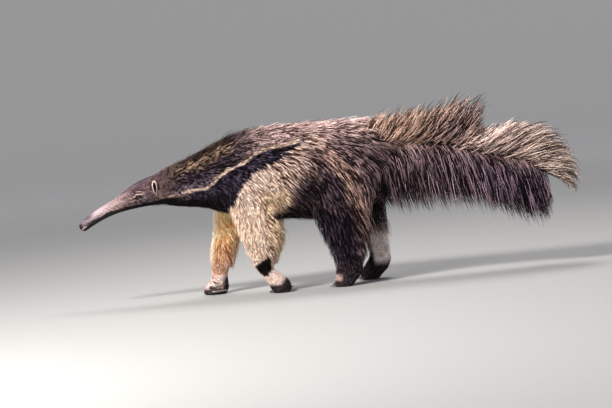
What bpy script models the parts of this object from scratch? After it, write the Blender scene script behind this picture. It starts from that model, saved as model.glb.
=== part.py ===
"""A giant anteater in mid stride, as a still, life-size museum model.

Metres, +Z up. The animal faces -X, its left side is towards -Y, and it stands on z = 0.
A point in the side view is (x, z). x is measured from the front edge of the right wrist,
and the finished model is moved so that its box is centred on the origin.

The solids are dense inner coat: they reach half way from the skin to the tips. Locks, which
overlap along the lie of the hair, carry the long coat from there out to its tips.
"""

import math
import random

import bmesh
import bpy
from mathutils import Matrix, Vector

# The gap between two nodes that touch, and how far a lock keeps from a cut.
GAP = 0.0003
LOCK_CLEARANCE = 0.0012
random.seed(11)

# The body from the nose to the tip of the tail, out to the tips of the coat:
# (top x, top z, bottom x, bottom z, half width, coat on top, coat below, coat at the side).
BODY = {
    "nose": (-0.4935, 0.327, -0.4885, 0.310, 0.0095, 0.001, 0.001, 0.001),
    "nostrils": (-0.486, 0.339, -0.470, 0.304, 0.0160, 0.001, 0.001, 0.001),
    "lips": (-0.460, 0.359, -0.439, 0.320, 0.0198, 0.001, 0.001, 0.001),
    "fore snout": (-0.404, 0.392, -0.381, 0.3455, 0.0240, 0.002, 0.002, 0.002),
    "mid snout": (-0.340, 0.425, -0.312, 0.3645, 0.0308, 0.003, 0.003, 0.003),
    "eyes": (-0.264, 0.472, -0.222, 0.375, 0.0460, 0.004, 0.005, 0.004),
    "ears": (-0.192, 0.500, -0.150, 0.373, 0.0600, 0.007, 0.008, 0.006),
    "nape": (-0.112, 0.528, -0.062, 0.3595, 0.0770, 0.013, 0.011, 0.012),
    "neck": (-0.032, 0.556, 0.020, 0.345, 0.0980, 0.020, 0.016, 0.016),
    "chest": (0.087, 0.604, 0.090, 0.315, 0.1320, 0.028, 0.020, 0.020),
    "shoulder": (0.207, 0.638, 0.200, 0.298, 0.1580, 0.032, 0.018, 0.024),
    "ribs": (0.350, 0.647, 0.350, 0.276, 0.1720, 0.034, 0.020, 0.028),
    "loin": (0.500, 0.644, 0.500, 0.278, 0.1700, 0.036, 0.022, 0.030),
    "hips": (0.620, 0.641, 0.620, 0.300, 0.1580, 0.038, 0.026, 0.032),
    "rump": (0.700, 0.641, 0.700, 0.325, 0.1220, 0.050, 0.060, 0.038),
    "tail root": (0.770, 0.650, 0.765, 0.250, 0.0980, 0.085, 0.225, 0.056),
    "tail crest": (0.900, 0.672, 0.900, 0.238, 0.1000, 0.116, 0.249, 0.062),
    "tail middle": (1.030, 0.650, 1.030, 0.235, 0.0980, 0.135, 0.225, 0.066),
    "tail notch": (1.120, 0.560, 1.120, 0.212, 0.0950, 0.077, 0.225, 0.070),
    "tail fan": (1.210, 0.552, 1.210, 0.180, 0.0880, 0.102, 0.230, 0.070),
    "fan middle": (1.300, 0.545, 1.300, 0.160, 0.0760, 0.135, 0.216, 0.062),
    "fan end": (1.370, 0.500, 1.370, 0.240, 0.0560, 0.126, 0.118, 0.048),
    "tail end": (1.425, 0.440, 1.425, 0.285, 0.0260, 0.075, 0.072, 0.024),
}
ROWS = list(BODY.values())
PLACE = {name: place for place, name in enumerate(BODY)}
SQUARENESS = 2.15
RING_POINTS = 18
HEAD_RINGS, BODY_RINGS = 3, 2
CORE = 0.5

# Where the body is parted: (x, z, lean). The lean turns the cut from upright towards the snout.
CUTS = {
    "snout": (-0.300, 0.410, 24.0),
    "head": (-0.128, 0.440, 18.0),
    "neck": (0.062, 0.460, 6.0),
    "torso": (0.722, 0.470, 0.0),
}

# Legs from the top down, out to the tips of the coat: (x, z, half length, half width, coat).
# The top rings lie inside the torso. y is the leg's place to the side.
LEG_CUT_Z = 0.322
LEGS = {
    "foreleg_left": {
        "y": -0.098,
        "rings": (
            (0.205, 0.500, 0.080, 0.045, 0.010),
            (0.203, 0.400, 0.110, 0.066, 0.020),
            (0.200, 0.311, 0.097, 0.064, 0.024),
            (0.208, 0.240, 0.089, 0.058, 0.024),
            (0.211, 0.180, 0.068, 0.050, 0.018),
            (0.209, 0.130, 0.046, 0.040, 0.012),
            (0.214, 0.098, 0.034, 0.032, 0.007),
        ),
    },
    "foreleg_right": {
        "y": 0.098,
        "rings": (
            (0.140, 0.500, 0.070, 0.045, 0.010),
            (0.115, 0.400, 0.085, 0.064, 0.020),
            (0.092, 0.311, 0.068, 0.062, 0.022),
            (0.071, 0.240, 0.056, 0.056, 0.020),
            (0.049, 0.170, 0.050, 0.048, 0.016),
            (0.040, 0.125, 0.043, 0.039, 0.010),
            (0.035, 0.098, 0.037, 0.032, 0.007),
        ),
    },
    "hindleg_left": {
        "y": -0.095,
        "rings": (
            (0.590, 0.520, 0.085, 0.050, 0.010),
            (0.570, 0.420, 0.130, 0.075, 0.024),
            (0.528, 0.311, 0.122, 0.076, 0.030),
            (0.529, 0.230, 0.098, 0.066, 0.028),
            (0.535, 0.160, 0.072, 0.054, 0.022),
            (0.540, 0.110, 0.060, 0.045, 0.014),
            (0.542, 0.082, 0.053, 0.041, 0.008),
        ),
    },
    "hindleg_right": {
        "y": 0.095,
        "rings": (
            (0.620, 0.520, 0.080, 0.050, 0.010),
            (0.615, 0.420, 0.105, 0.073, 0.024),
            (0.620, 0.311, 0.088, 0.070, 0.028),
            (0.634, 0.230, 0.060, 0.060, 0.024),
            (0.652, 0.165, 0.040, 0.046, 0.014),
            (0.664, 0.120, 0.041, 0.040, 0.008),
            (0.668, 0.090, 0.044, 0.037, 0.006),
        ),
    },
}
LEG_POINTS = 14

# Paws from the wrist or ankle down to the flat that stands on the floor.
PAWS = {
    "forepaw_left": {
        "y": -0.098,
        "rings": (
            (0.216, 0.096, 0.033, 0.031, 0.006),
            (0.236, 0.073, 0.039, 0.034, 0.005),
            (0.258, 0.048, 0.044, 0.038, 0.004),
            (0.269, 0.024, 0.042, 0.039, 0.003),
            (0.270, 0.007, 0.037, 0.035, 0.001),
            (0.270, 0.000, 0.030, 0.028, 0.000),
        ),
    },
    "forepaw_right": {
        "y": 0.098,
        "rings": (
            (0.035, 0.096, 0.036, 0.031, 0.006),
            (0.030, 0.072, 0.034, 0.032, 0.005),
            (0.025, 0.050, 0.038, 0.035, 0.004),
            (0.015, 0.028, 0.048, 0.038, 0.003),
            (0.009, 0.009, 0.047, 0.037, 0.001),
            (0.010, 0.000, 0.039, 0.029, 0.000),
        ),
    },
    "hindpaw_left": {
        "y": -0.095,
        "rings": (
            (0.542, 0.080, 0.052, 0.040, 0.006),
            (0.538, 0.060, 0.053, 0.039, 0.005),
            (0.532, 0.040, 0.050, 0.040, 0.004),
            (0.520, 0.020, 0.043, 0.042, 0.003),
            (0.514, 0.007, 0.037, 0.042, 0.001),
            (0.514, 0.000, 0.030, 0.035, 0.000),
        ),
    },
    "hindpaw_right": {
        "y": 0.095,
        "rings": (
            (0.667, 0.088, 0.045, 0.037, 0.006),
            (0.656, 0.062, 0.051, 0.038, 0.005),
            (0.641, 0.038, 0.052, 0.040, 0.004),
            (0.626, 0.018, 0.044, 0.042, 0.003),
            (0.623, 0.007, 0.038, 0.042, 0.001),
            (0.624, 0.000, 0.031, 0.035, 0.000),
        ),
    },
}

# The head's small forms.
EYE = {"x": -0.2465, "z": 0.4150, "depth": 0.0050, "radius": 0.0096}
EAR = {"x": -0.181, "z": 0.452, "width": 0.017, "height": 0.031, "depth": 0.012, "turn": -8.0}
EAR_WALL = 0.0035
MOUTH = {"x": -0.455, "z": 0.331, "slope": 31.0, "length": 0.080, "slit": 0.0013}
NOSTRIL = {"x": -0.493, "z": 0.322, "side": 0.0062, "radius": 0.0032}

# Claws: root, bend and tip as (forward, inward, up) from the middle of the paw's flat, and the
# radius at the root. The two great claws of a forepaw fold in and back beside the palm.
FORE_CLAWS = (
    ((0.020, 0.012, 0.028), (0.026, 0.056, 0.030), (-0.034, 0.046, 0.036), 0.0072),
    ((0.024, 0.010, 0.0105), (0.036, 0.060, 0.0115), (-0.050, 0.040, 0.016), 0.0088),
    ((0.026, -0.008, 0.0075), (0.050, -0.006, 0.0070), (0.046, 0.010, 0.0060), 0.0045),
    ((0.004, 0.012, 0.050), (0.006, 0.054, 0.050), (-0.024, 0.046, 0.044), 0.0045),
)
HIND_CLAWS = (
    ((0.018, 0.026, 0.009), (0.036, 0.031, 0.012), (0.044, 0.033, 0.0035), 0.0042),
    ((0.024, 0.014, 0.009), (0.044, 0.017, 0.013), (0.053, 0.018, 0.0035), 0.0050),
    ((0.026, 0.000, 0.009), (0.047, 0.001, 0.013), (0.056, 0.002, 0.0035), 0.0052),
    ((0.024, -0.014, 0.009), (0.044, -0.016, 0.013), (0.053, -0.016, 0.0035), 0.0050),
    ((0.018, -0.026, 0.009), (0.036, -0.031, 0.012), (0.043, -0.032, 0.0035), 0.0042),
)
CLAW_SIDES = 6
CLAW_RINGS = 5
CLAW_TIP = 0.14

# The tail's bony middle in the side view, and its hair as streams that leave it:
# (x where a stream leaves the middle, tip x, tip z).
TAIL_MIDDLE = (
    (0.700, 0.530),
    (0.785, 0.527),
    (0.900, 0.520),
    (1.016, 0.492),
    (1.130, 0.457),
    (1.244, 0.415),
    (1.338, 0.374),
    (1.380, 0.352),
)
UPPER_STREAMS = (
    (0.730, 0.795, 0.662),
    (0.740, 0.860, 0.676),
    (0.790, 0.950, 0.676),
    (0.850, 1.050, 0.697),
    (0.910, 1.132, 0.705),
    (0.960, 1.142, 0.672),
    (1.000, 1.128, 0.612),
    (1.030, 1.125, 0.560),
    (1.060, 1.185, 0.556),
    (1.110, 1.280, 0.564),
    (1.170, 1.378, 0.534),
    (1.230, 1.432, 0.482),
    (1.290, 1.460, 0.415),
    (1.345, 1.468, 0.330),
)
LOWER_STREAMS = (
    (0.735, 0.745, 0.252),
    (0.790, 0.815, 0.240),
    (0.860, 0.905, 0.234),
    (0.940, 1.005, 0.232),
    (1.020, 1.100, 0.212),
    (1.100, 1.190, 0.180),
    (1.180, 1.270, 0.150),
    (1.250, 1.330, 0.138),
    (1.300, 1.356, 0.172),
    (1.340, 1.412, 0.240),
)
# How far out to the side a lock in the outer lane lies along its path, from root to tip.
LANE_SPREAD = ((0.040,), (0.083,), (0.095,), (0.092,), (0.074,), (0.046,))
# Lanes of locks: (share of the spread, where the lock starts on its stream, count, tilt).
UPPER_LANES = (
    (-0.95, 0.06, 12, 25),
    (-0.40, 0.34, 7, 60),
    (0.02, 0.36, 6, 90),
    (0.40, 0.34, 7, 60),
    (0.95, 0.06, 12, 25),
)
LOWER_LANES = (
    (-1.00, 0.06, 14, 25),
    (-0.40, 0.34, 8, 60),
    (0.02, 0.36, 6, 90),
    (0.40, 0.34, 8, 60),
    (1.00, 0.06, 14, 25),
)
TAIL_LOCK = {"width": 0.060, "thick": 0.020, "stray": 0.06}

# Rows of locks on the body: (node, first place, last place, count, turn from the spine, drop,
# length in places, width). Drop is how far the lock turns down over its length, in degrees.
BODY_LOCKS = (
    ("neck", 7.45, 8.10, 4, 0, 0, 0.52, 0.040),
    ("torso", 9.05, 13.35, 8, 0, 0, 1.25, 0.062),
    ("torso", 9.15, 13.25, 7, 28, 6, 1.20, 0.068),
    ("torso", 9.60, 13.25, 6, 56, 14, 1.15, 0.074),
    ("torso", 10.6, 13.30, 5, 84, 18, 1.05, 0.076),
    ("torso", 10.9, 12.80, 3, 106, 14, 0.95, 0.064),
)
LOCK_THICKNESS = 0.26
LOCK_SIDES = 3
ROOT_SHARE = -0.20
LYING = 2.5

# Rings of locks on the legs: (height of the roots, turns from the front, length, width).
LEG_LOCKS = {
    "foreleg_left": ((0.292, (60, 110, 160), 0.110, 0.050), (0.215, (180,), 0.080, 0.036)),
    "foreleg_right": ((0.292, (60, 110, 160), 0.110, 0.046), (0.215, (180,), 0.080, 0.034)),
    "hindleg_left": ((0.296, (0, 52, 104, 156), 0.125, 0.064), (0.215, (28, 90, 152), 0.100, 0.052)),
    "hindleg_right": ((0.296, (40, 92, 144), 0.125, 0.058), (0.215, (120, 180), 0.080, 0.040)),
}

COLOURS = {
    "snout grey": (0.33, 0.27, 0.24),
    "head grey": (0.25, 0.20, 0.18),
    "neck brown": (0.17, 0.13, 0.11),
    "back brown": (0.24, 0.19, 0.16),
    "foreleg buff": (0.68, 0.58, 0.48),
    "hind brown": (0.10, 0.08, 0.08),
    "tail brown": (0.14, 0.11, 0.11),
    "claw horn": (0.20, 0.18, 0.17),
    "eye": (0.02, 0.015, 0.012),
}
ROUGHNESS = {"eye": 0.08, "claw horn": 0.35}


def clear_scene():
    for old in list(bpy.data.objects):
        bpy.data.objects.remove(old)


def material(name):
    """A plain finish in one of the coat's colours, made once."""
    found = bpy.data.materials.get(name)
    if found:
        return found
    made = bpy.data.materials.new(name)
    made.use_nodes = True
    shader = made.node_tree.nodes["Principled BSDF"]
    shader.inputs["Base Color"].default_value = (*COLOURS[name], 1.0)
    shader.inputs["Roughness"].default_value = ROUGHNESS.get(name, 0.85)
    shader.inputs["Metallic"].default_value = 0.0
    return made


def finished(name, bm, finish):
    """A named object from a bmesh, with its faces out and shaded smooth."""
    bmesh.ops.recalc_face_normals(bm, faces=bm.faces)
    mesh = bpy.data.meshes.new(name)
    bm.to_mesh(mesh)
    bm.free()
    made = bpy.data.objects.new(name, mesh)
    bpy.context.scene.collection.objects.link(made)
    mesh.materials.append(material(finish))
    mesh.shade_smooth()
    return made


def smooth(rows, place):
    """The row at a place between whole rows, on a Catmull-Rom curve through them."""
    last = len(rows) - 1
    i = min(max(int(place), 0), last - 1)
    t = min(max(place - i, 0.0), 1.0)
    four = [rows[min(max(k, 0), last)] for k in range(i - 1, i + 3)]
    weights = (
        (-t + 2 * t**2 - t**3) / 2,
        (2 - 5 * t**2 + 3 * t**3) / 2,
        (t + 4 * t**2 - 3 * t**3) / 2,
        (-(t**2) + t**3) / 2,
    )
    return [sum(w * row[k] for w, row in zip(weights, four)) for k in range(len(four[0]))]


def oval_point(centre, one, other, turn):
    """A point of an oval with the half axes one and other, at a turn in radians from one."""
    power = 2 / SQUARENESS
    c, s = math.cos(turn), math.sin(turn)
    along = math.copysign(abs(c) ** power, c)
    across = math.copysign(abs(s) ** power, s)
    return centre + one * along + other * across


def oval(centre, one, other, count):
    """Points round an oval."""
    return [oval_point(centre, one, other, 2 * math.pi * k / count) for k in range(count)]


def body_axes(place, share):
    """The middle, the upward and the leftward half axis of the body, at a share of the coat."""
    top_x, top_z, low_x, low_z, half, on_top, below, aside = smooth(ROWS, place)
    top, low = Vector((top_x, 0, top_z)), Vector((low_x, 0, low_z))
    up = (top - low).normalized()
    top -= up * on_top * (1 - share)
    low += up * below * (1 - share)
    return (top + low) / 2, (top - low) / 2, Vector((0, -(half - aside * (1 - share)), 0))


def limb_axes(spec, place, share):
    """The middle, the forward and the leftward half axis of a leg or paw, at a share of the coat."""
    x, z, length, width, coat = smooth(spec["rings"], place)
    inset = coat * (1 - share)
    forward, left = Vector((-(length - inset), 0, 0)), Vector((0, -(width - inset), 0))
    return Vector((x, spec["y"], z)), forward, left


def lofted(rings):
    """A closed skin over a row of rings of like count, capped at both ends."""
    bm = bmesh.new()
    rows = [[bm.verts.new(p) for p in points] for points in rings]
    count = len(rows[0])
    for upper, lower in zip(rows, rows[1:]):
        for k in range(count):
            j = (k + 1) % count
            bm.faces.new((upper[k], upper[j], lower[j], lower[k]))
    bm.faces.new(rows[0])
    if len(rows[-1]) > 2:
        bm.faces.new(reversed(rows[-1]))
    return bm


def body_rings():
    """Rings from the nose to the end of the tail, each in the plane of its top and bottom."""
    neck = PLACE["neck"]
    places = [k / HEAD_RINGS for k in range(neck * HEAD_RINGS)]
    places += [neck + k / BODY_RINGS for k in range((len(ROWS) - 1 - neck) * BODY_RINGS + 1)]
    return [oval(*body_axes(place, CORE), RING_POINTS) for place in places]


def limb_rings(spec, steps):
    """Level rings down a leg or a paw."""
    count = (len(spec["rings"]) - 1) * steps
    return [oval(*limb_axes(spec, k / steps, CORE), LEG_POINTS) for k in range(count + 1)]


def keep_side(bm, point, normal):
    """Cuts a closed tube with a plane, keeps what lies against the normal and closes the end."""
    geometry = bm.verts[:] + bm.edges[:] + bm.faces[:]
    bmesh.ops.bisect_plane(bm, geom=geometry, plane_co=point, plane_no=normal, clear_outer=True)
    rim = [e for e in bm.edges if e.is_boundary]
    bmesh.ops.contextual_create(bm, geom=rim)


def cut_plane(name):
    """The point and the tailward normal of one of the body's cuts."""
    x, z, lean = CUTS[name]
    turn = math.radians(lean)
    return Vector((x, 0, z)), Vector((math.cos(turn), 0, math.sin(turn)))


def body_part(name, finish, whole, after=None, before=None):
    """The stretch of the body between two of its cuts."""
    bm = bmesh.new()
    bm.from_mesh(whole.data)
    if after:
        point, normal = cut_plane(after)
        keep_side(bm, point + normal * GAP / 2, -normal)
    if before:
        point, normal = cut_plane(before)
        keep_side(bm, point - normal * GAP / 2, normal)
    return finished(name, bm, finish)


def limb_part(name, spec, finish, above=None, below=None):
    """A leg or a paw, cut level at a height where one is given."""
    bm = lofted(limb_rings(spec, 2))
    if below is not None:
        keep_side(bm, Vector((0, 0, below - GAP / 2)), Vector((0, 0, 1)))
    if above is not None:
        keep_side(bm, Vector((0, 0, above + GAP / 2)), Vector((0, 0, -1)))
    return finished(name, bm, finish)


def ball(name, centre, radii, finish, turn=0.0, segments=11, rings=8):
    """An oval ball, turned about Y."""
    bm = bmesh.new()
    bmesh.ops.create_uvsphere(bm, u_segments=segments, v_segments=rings, radius=1.0)
    place = Matrix.Translation(centre) @ Matrix.Rotation(math.radians(turn), 4, "Y")
    bm.transform(place @ Matrix.Diagonal((*radii, 1.0)))
    return finished(name, bm, finish)


def apply_boolean(body, operation, others, solver="EXACT"):
    """One Boolean on a collection of closed pieces, which are then removed."""
    group = bpy.data.collections.new("pieces")
    bpy.context.scene.collection.children.link(group)
    for piece in others:
        bpy.context.scene.collection.objects.unlink(piece)
        group.objects.link(piece)
    boolean = body.modifiers.new("join", "BOOLEAN")
    boolean.operation = operation
    boolean.solver = solver
    boolean.operand_type = "COLLECTION"
    boolean.collection = group
    graph = bpy.context.evaluated_depsgraph_get()
    made = bpy.data.meshes.new_from_object(body.evaluated_get(graph))
    body.modifiers.clear()
    body.data = made
    for piece in others:
        bpy.data.objects.remove(piece)
    bpy.data.collections.remove(group)


def grown(body, by):
    """A copy of a node whose surface stands out by a little, to cut its neighbour clear of it."""
    bm = bmesh.new()
    bm.from_mesh(body.data)
    bm.normal_update()
    moves = [(v, v.normal * by) for v in bm.verts]
    for vertex, move in moves:
        vertex.co += move
    return finished(body.name + "_clearance", bm, body.data.materials[0].name)


def volume_in(faces):
    """The volume that a closed set of triangles holds, below zero if it is a hollow."""
    return sum(f.verts[0].co.dot(f.verts[1].co.cross(f.verts[2].co)) for f in faces) / 6


def keep_largest(body):
    """Drops every closed surface of a node but the largest."""
    bm = bmesh.new()
    bm.from_mesh(body.data)
    bmesh.ops.triangulate(bm, faces=bm.faces)
    left = set(bm.faces)
    islands = []
    while left:
        island, waiting = set(), [left.pop()]
        while waiting:
            face = waiting.pop()
            island.add(face)
            for side in face.edges:
                if side.is_manifold:
                    beyond = [other for other in side.link_faces if other in left]
                    left.difference_update(beyond)
                    waiting.extend(beyond)
        islands.append(island)
    islands.sort(key=volume_in, reverse=True)
    loose = [face for island in islands[1:] for face in island]
    bmesh.ops.delete(bm, geom=loose, context="FACES")
    bm.to_mesh(body.data)
    bm.free()


def half_width_at(x, z):
    """How far the body's side is from the middle plane at a point of the side view."""
    nearest, found = 1.0, 0.0
    for k in range((len(ROWS) - 1) * 12):
        middle, up, left = body_axes(k / 12, CORE)
        offset = Vector((x, 0, z)) - middle
        height = offset.dot(up) / up.length_squared
        aside = offset.cross(up).length / up.length
        if aside < nearest and abs(height) < 1:
            nearest = aside
            found = left.length * math.sqrt(1 - height**2)
    return found


def lock(path, width, thick, facing, clear=()):
    """A flat closed lock with a low ridge, which tapers along its path. Its rings are moved whole
    off each plane of clear, given as a point and the normal of the side that the lock stays on."""
    rings = []
    last = len(path) - 1
    for k, centre in enumerate(path):
        t = k / last
        along = (path[min(k + 1, last)] - path[max(k - 1, 0)]).normalized()
        across = along.cross(facing).normalized()
        out = across.cross(along)
        half = width / 2 * (0.7 + 0.6 * t) * (1 - t**2.2)
        for point, normal in clear:
            near = (centre - point).dot(normal) - half - LOCK_CLEARANCE
            centre = centre - normal * min(near, 0)
        if k == last:
            rings.append([centre])
        else:
            deep = thick * (1 - t * 0.75)
            rings.append([centre + across * half, centre + out * deep, centre - across * half])
    bm = bmesh.new()
    rows = [[bm.verts.new(p) for p in ring] for ring in rings]
    for k in range(LOCK_SIDES):
        j = (k + 1) % LOCK_SIDES
        for upper, lower in zip(rows[:-1], rows[1:-1]):
            bm.faces.new((upper[k], upper[j], lower[j]))
            bm.faces.new((upper[k], lower[j], lower[k]))
        bm.faces.new((rows[-2][k], rows[-2][j], rows[-1][0]))
    bm.faces.new(rows[0])
    return finished("lock", bm, "tail brown")


def varied(value, by):
    return value * random.uniform(1 - by, 1 + by)


def lying_share(t):
    """The share of the coat at which a lock lies: it leaves its root and soon lies along the body."""
    return ROOT_SHARE + (1 - ROOT_SHARE) * (1 - (1 - t) ** LYING)


def body_locks(name, clear):
    """The locks of a stretch of the body, in rows that lie back along it."""
    made = []
    for node, first, last, count, turn, drop, length, width in BODY_LOCKS:
        if node != name:
            continue
        for side in (-1, 1) if turn else (1,):
            for k in range(count):
                start = first + (last - first) * (k + random.uniform(-0.25, 0.25)) / max(count - 1, 1)
                long = varied(length, 0.15)
                base = side * (turn + random.uniform(-5, 5))
                path = []
                for step in range(5):
                    t = step / 4
                    share = lying_share(t)
                    middle, up, left = body_axes(start + long * t, share)
                    path.append(oval_point(middle, up, left, math.radians(base + side * drop * t)))
                facing = path[2] - body_axes(start + long / 2, 0)[0]
                broad = varied(width, 0.15)
                made.append(lock(path, broad, broad * LOCK_THICKNESS, facing, clear))
    return made


def leg_locks(name, spec):
    """The locks of a leg, in level rows that hang down it."""
    rings = spec["rings"]
    made = []
    floor = (Vector((0, 0, rings[-1][1] + 0.004)), Vector((0, 0, 1)))
    roof = (Vector((0, 0, LEG_CUT_Z - GAP)), Vector((0, 0, -1)))
    for height, turns, length, width in LEG_LOCKS[name]:
        for turn in turns:
            for side in (-1, 1) if 0 < turn < 180 else (1,):
                root = varied(height, 0.04)
                long = varied(length, 0.12)
                angle = math.radians(side * turn + random.uniform(-8, 8))
                path = []
                for step in range(4):
                    t = step / 3
                    z = root - long * t
                    share = lying_share(t)
                    middle, forward, left = limb_axes(spec, place_at(rings, z), share)
                    path.append(oval_point(middle, forward, left, angle))
                facing = path[1] - limb_axes(spec, place_at(rings, path[1].z), 0)[0]
                broad = varied(width, 0.15)
                made.append(lock(path, broad, broad * LOCK_THICKNESS, facing, (floor, roof)))
    return made


def place_at(rings, z):
    """The place down a leg at a height."""
    for k, (upper, lower) in enumerate(zip(rings, rings[1:])):
        if z >= lower[1]:
            return k + (upper[1] - z) / (upper[1] - lower[1])
    return len(rings) - 1.0


def tail_middle_z(x):
    """The height of the tail's middle at an x."""
    for (x0, z0), (x1, z1) in zip(TAIL_MIDDLE, TAIL_MIDDLE[1:]):
        if x <= x1:
            return z0 + (z1 - z0) * (x - x0) / (x1 - x0)
    return TAIL_MIDDLE[-1][1]


def tail_locks(streams, lanes, rise, clear):
    """Locks that leave the tail's middle and bend out to the edge of the tail."""
    made = []
    for lane, start, count, lean in lanes:
        for k in range(count):
            place = (k + random.uniform(0.15, 0.85)) / count * (len(streams) - 1)
            root_x, tip_x, tip_z = smooth(streams, place)
            root_z = tail_middle_z(root_x)
            reach = random.uniform(1 - TAIL_LOCK["stray"], 1.0)
            aside = lane * random.uniform(0.85, 1.1)
            path = []
            for step in range(5):
                t = start + (reach - start) * step / 4
                x = root_x + (tip_x - root_x) * t ** (1.0 + rise)
                z = root_z + (tip_z - root_z) * t ** (1.0 - rise * 0.35)
                spread = smooth(LANE_SPREAD, t * (len(LANE_SPREAD) - 1))[0]
                path.append(Vector((x, aside * spread, z)))
            tilt = math.radians(random.uniform(-1, 1) * lean)
            out = Vector((0, math.copysign(1, lane), 0))
            facing = Matrix.Rotation(tilt, 3, path[3] - path[2]) @ out
            width = varied(TAIL_LOCK["width"], 0.2)
            made.append(lock(path, width, TAIL_LOCK["thick"], facing, clear))
    return made


def make_head(whole):
    """Snout, head, eyes and ears."""
    snout = body_part("snout", "snout grey", whole, before="snout")
    turn = math.radians(MOUTH["slope"])
    slit = bmesh.new()
    bmesh.ops.create_cube(slit, size=1.0)
    place = Matrix.Translation((MOUTH["x"] - 0.02, 0, MOUTH["z"] - 0.02 * math.tan(turn)))
    place = place @ Matrix.Rotation(-turn, 4, "Y")
    slit.transform(place @ Matrix.Diagonal((MOUTH["length"], 0.1, MOUTH["slit"], 1.0)))
    cutters = [finished("slit", slit, "snout grey")]
    for side in (-1, 1):
        hole = Vector((NOSTRIL["x"], side * NOSTRIL["side"], NOSTRIL["z"]))
        sizes = (NOSTRIL["radius"] * 2.2, NOSTRIL["radius"], NOSTRIL["radius"] * 0.8)
        cutters.append(ball("nostril", hole, sizes, "snout grey", -25.0, 8, 6))
    apply_boolean(snout, "DIFFERENCE", cutters)
    keep_largest(snout)

    head = body_part("head", "head grey", whole, after="snout", before="head")
    eyes, lids = [], []
    for side, word in ((-1, "left"), (1, "right")):
        out = half_width_at(EYE["x"], EYE["z"]) - EYE["depth"]
        centre = Vector((EYE["x"], side * out, EYE["z"]))
        eyes.append(ball("eye_" + word, centre, [EYE["radius"]] * 3, "eye"))
        lids.append(lid_ring(centre, side))
    apply_boolean(head, "UNION", lids)
    apply_boolean(head, "DIFFERENCE", [grown(eye, GAP) for eye in eyes])
    keep_largest(head)
    for side, word in ((-1, "left"), (1, "right")):
        make_ear("ear_" + word, side, head)


def lid_ring(centre, side):
    """The thick rim of skin that both lids make round an eye."""
    bm = bmesh.new()
    around, thick = 12, 6
    rows = []
    for k in range(around):
        turn = 2 * math.pi * k / around
        out = Vector((math.cos(turn) * 1.15, 0, math.sin(turn) * 0.72))
        middle = centre + out * EYE["radius"] + Vector((0, side * EYE["radius"] * 0.55, 0))
        row = []
        for j in range(thick):
            tip = 2 * math.pi * j / thick
            lean = out * math.cos(tip) + Vector((0, side, 0)) * math.sin(tip)
            row.append(bm.verts.new(middle + lean * EYE["radius"] * 0.34))
        rows.append(row)
    for k in range(around):
        one, other = rows[k], rows[(k + 1) % around]
        for j in range(thick):
            i = (j + 1) % thick
            bm.faces.new((one[j], one[i], other[i], other[j]))
    return finished("lids", bm, "head grey")


def make_ear(name, side, head):
    """A small round cup that opens outwards and a little forwards."""
    out = half_width_at(EAR["x"], EAR["z"])
    root = Vector((EAR["x"], side * (out - 0.002), EAR["z"]))
    outer = (EAR["width"], EAR["depth"], EAR["height"])
    ear = ball(name, root, outer, "head grey", EAR["turn"])
    mouth = root + Vector((-0.004, side * EAR["depth"] * 0.62, 0.0))
    inner = (EAR["width"] - EAR_WALL, EAR["depth"] * 0.95, EAR["height"] - EAR_WALL)
    hollow = ball("hollow", mouth, inner, "head grey", EAR["turn"])
    apply_boolean(ear, "DIFFERENCE", [hollow, grown(head, GAP)])
    keep_largest(ear)


def make_claw(name, flat, inward, shape, paw):
    """A curved horn that starts inside its paw and is cut clear of it."""
    root, bend, tip = (flat + Vector((-f, s * inward, u)) for f, s, u in shape[:3])
    rings = []
    for k in range(CLAW_RINGS):
        t = k / (CLAW_RINGS - 1)
        centre = root * (1 - t) ** 2 + bend * (2 * t * (1 - t)) + tip * t**2
        along = ((bend - root) * (1 - t) + (tip - bend) * t).normalized()
        aside = along.cross(Vector((0, 0, 1))).normalized()
        size = shape[3] * (CLAW_TIP + (1 - CLAW_TIP) * (1 - t) ** 0.55)
        rings.append(oval(centre, aside * size * 0.8, aside.cross(along) * size, CLAW_SIDES))
    claw = finished(name, lofted(rings), "claw horn")
    apply_boolean(claw, "DIFFERENCE", [grown(paw, GAP)])
    keep_largest(claw)


def make_paws():
    """Four paws and their claws."""
    for name, spec in PAWS.items():
        fore = name.startswith("fore")
        paw = limb_part(name, spec, "foreleg buff" if fore else "hind brown")
        inward = 1 if spec["y"] < 0 else -1
        flat = Vector((spec["rings"][-1][0], spec["y"], 0))
        for k, shape in enumerate(FORE_CLAWS if fore else HIND_CLAWS):
            make_claw(name.replace("paw", "claw") + f"_{k + 1}", flat, inward, shape, paw)


def make_legs():
    """Four bare legs, and the stubs that join their tops to the body."""
    legs, stubs = [], []
    for name, spec in LEGS.items():
        finish = "foreleg buff" if name.startswith("fore") else "hind brown"
        bottom = spec["rings"][-1][1]
        legs.append(limb_part(name, spec, finish, above=bottom, below=LEG_CUT_Z))
        stubs.append(limb_part(name + "_stub", spec, finish, above=LEG_CUT_Z))
    return legs, stubs


def add_locks(node, locks):
    """Fuses a node's locks to it."""
    apply_boolean(node, "UNION", locks)
    keep_largest(node)


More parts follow.
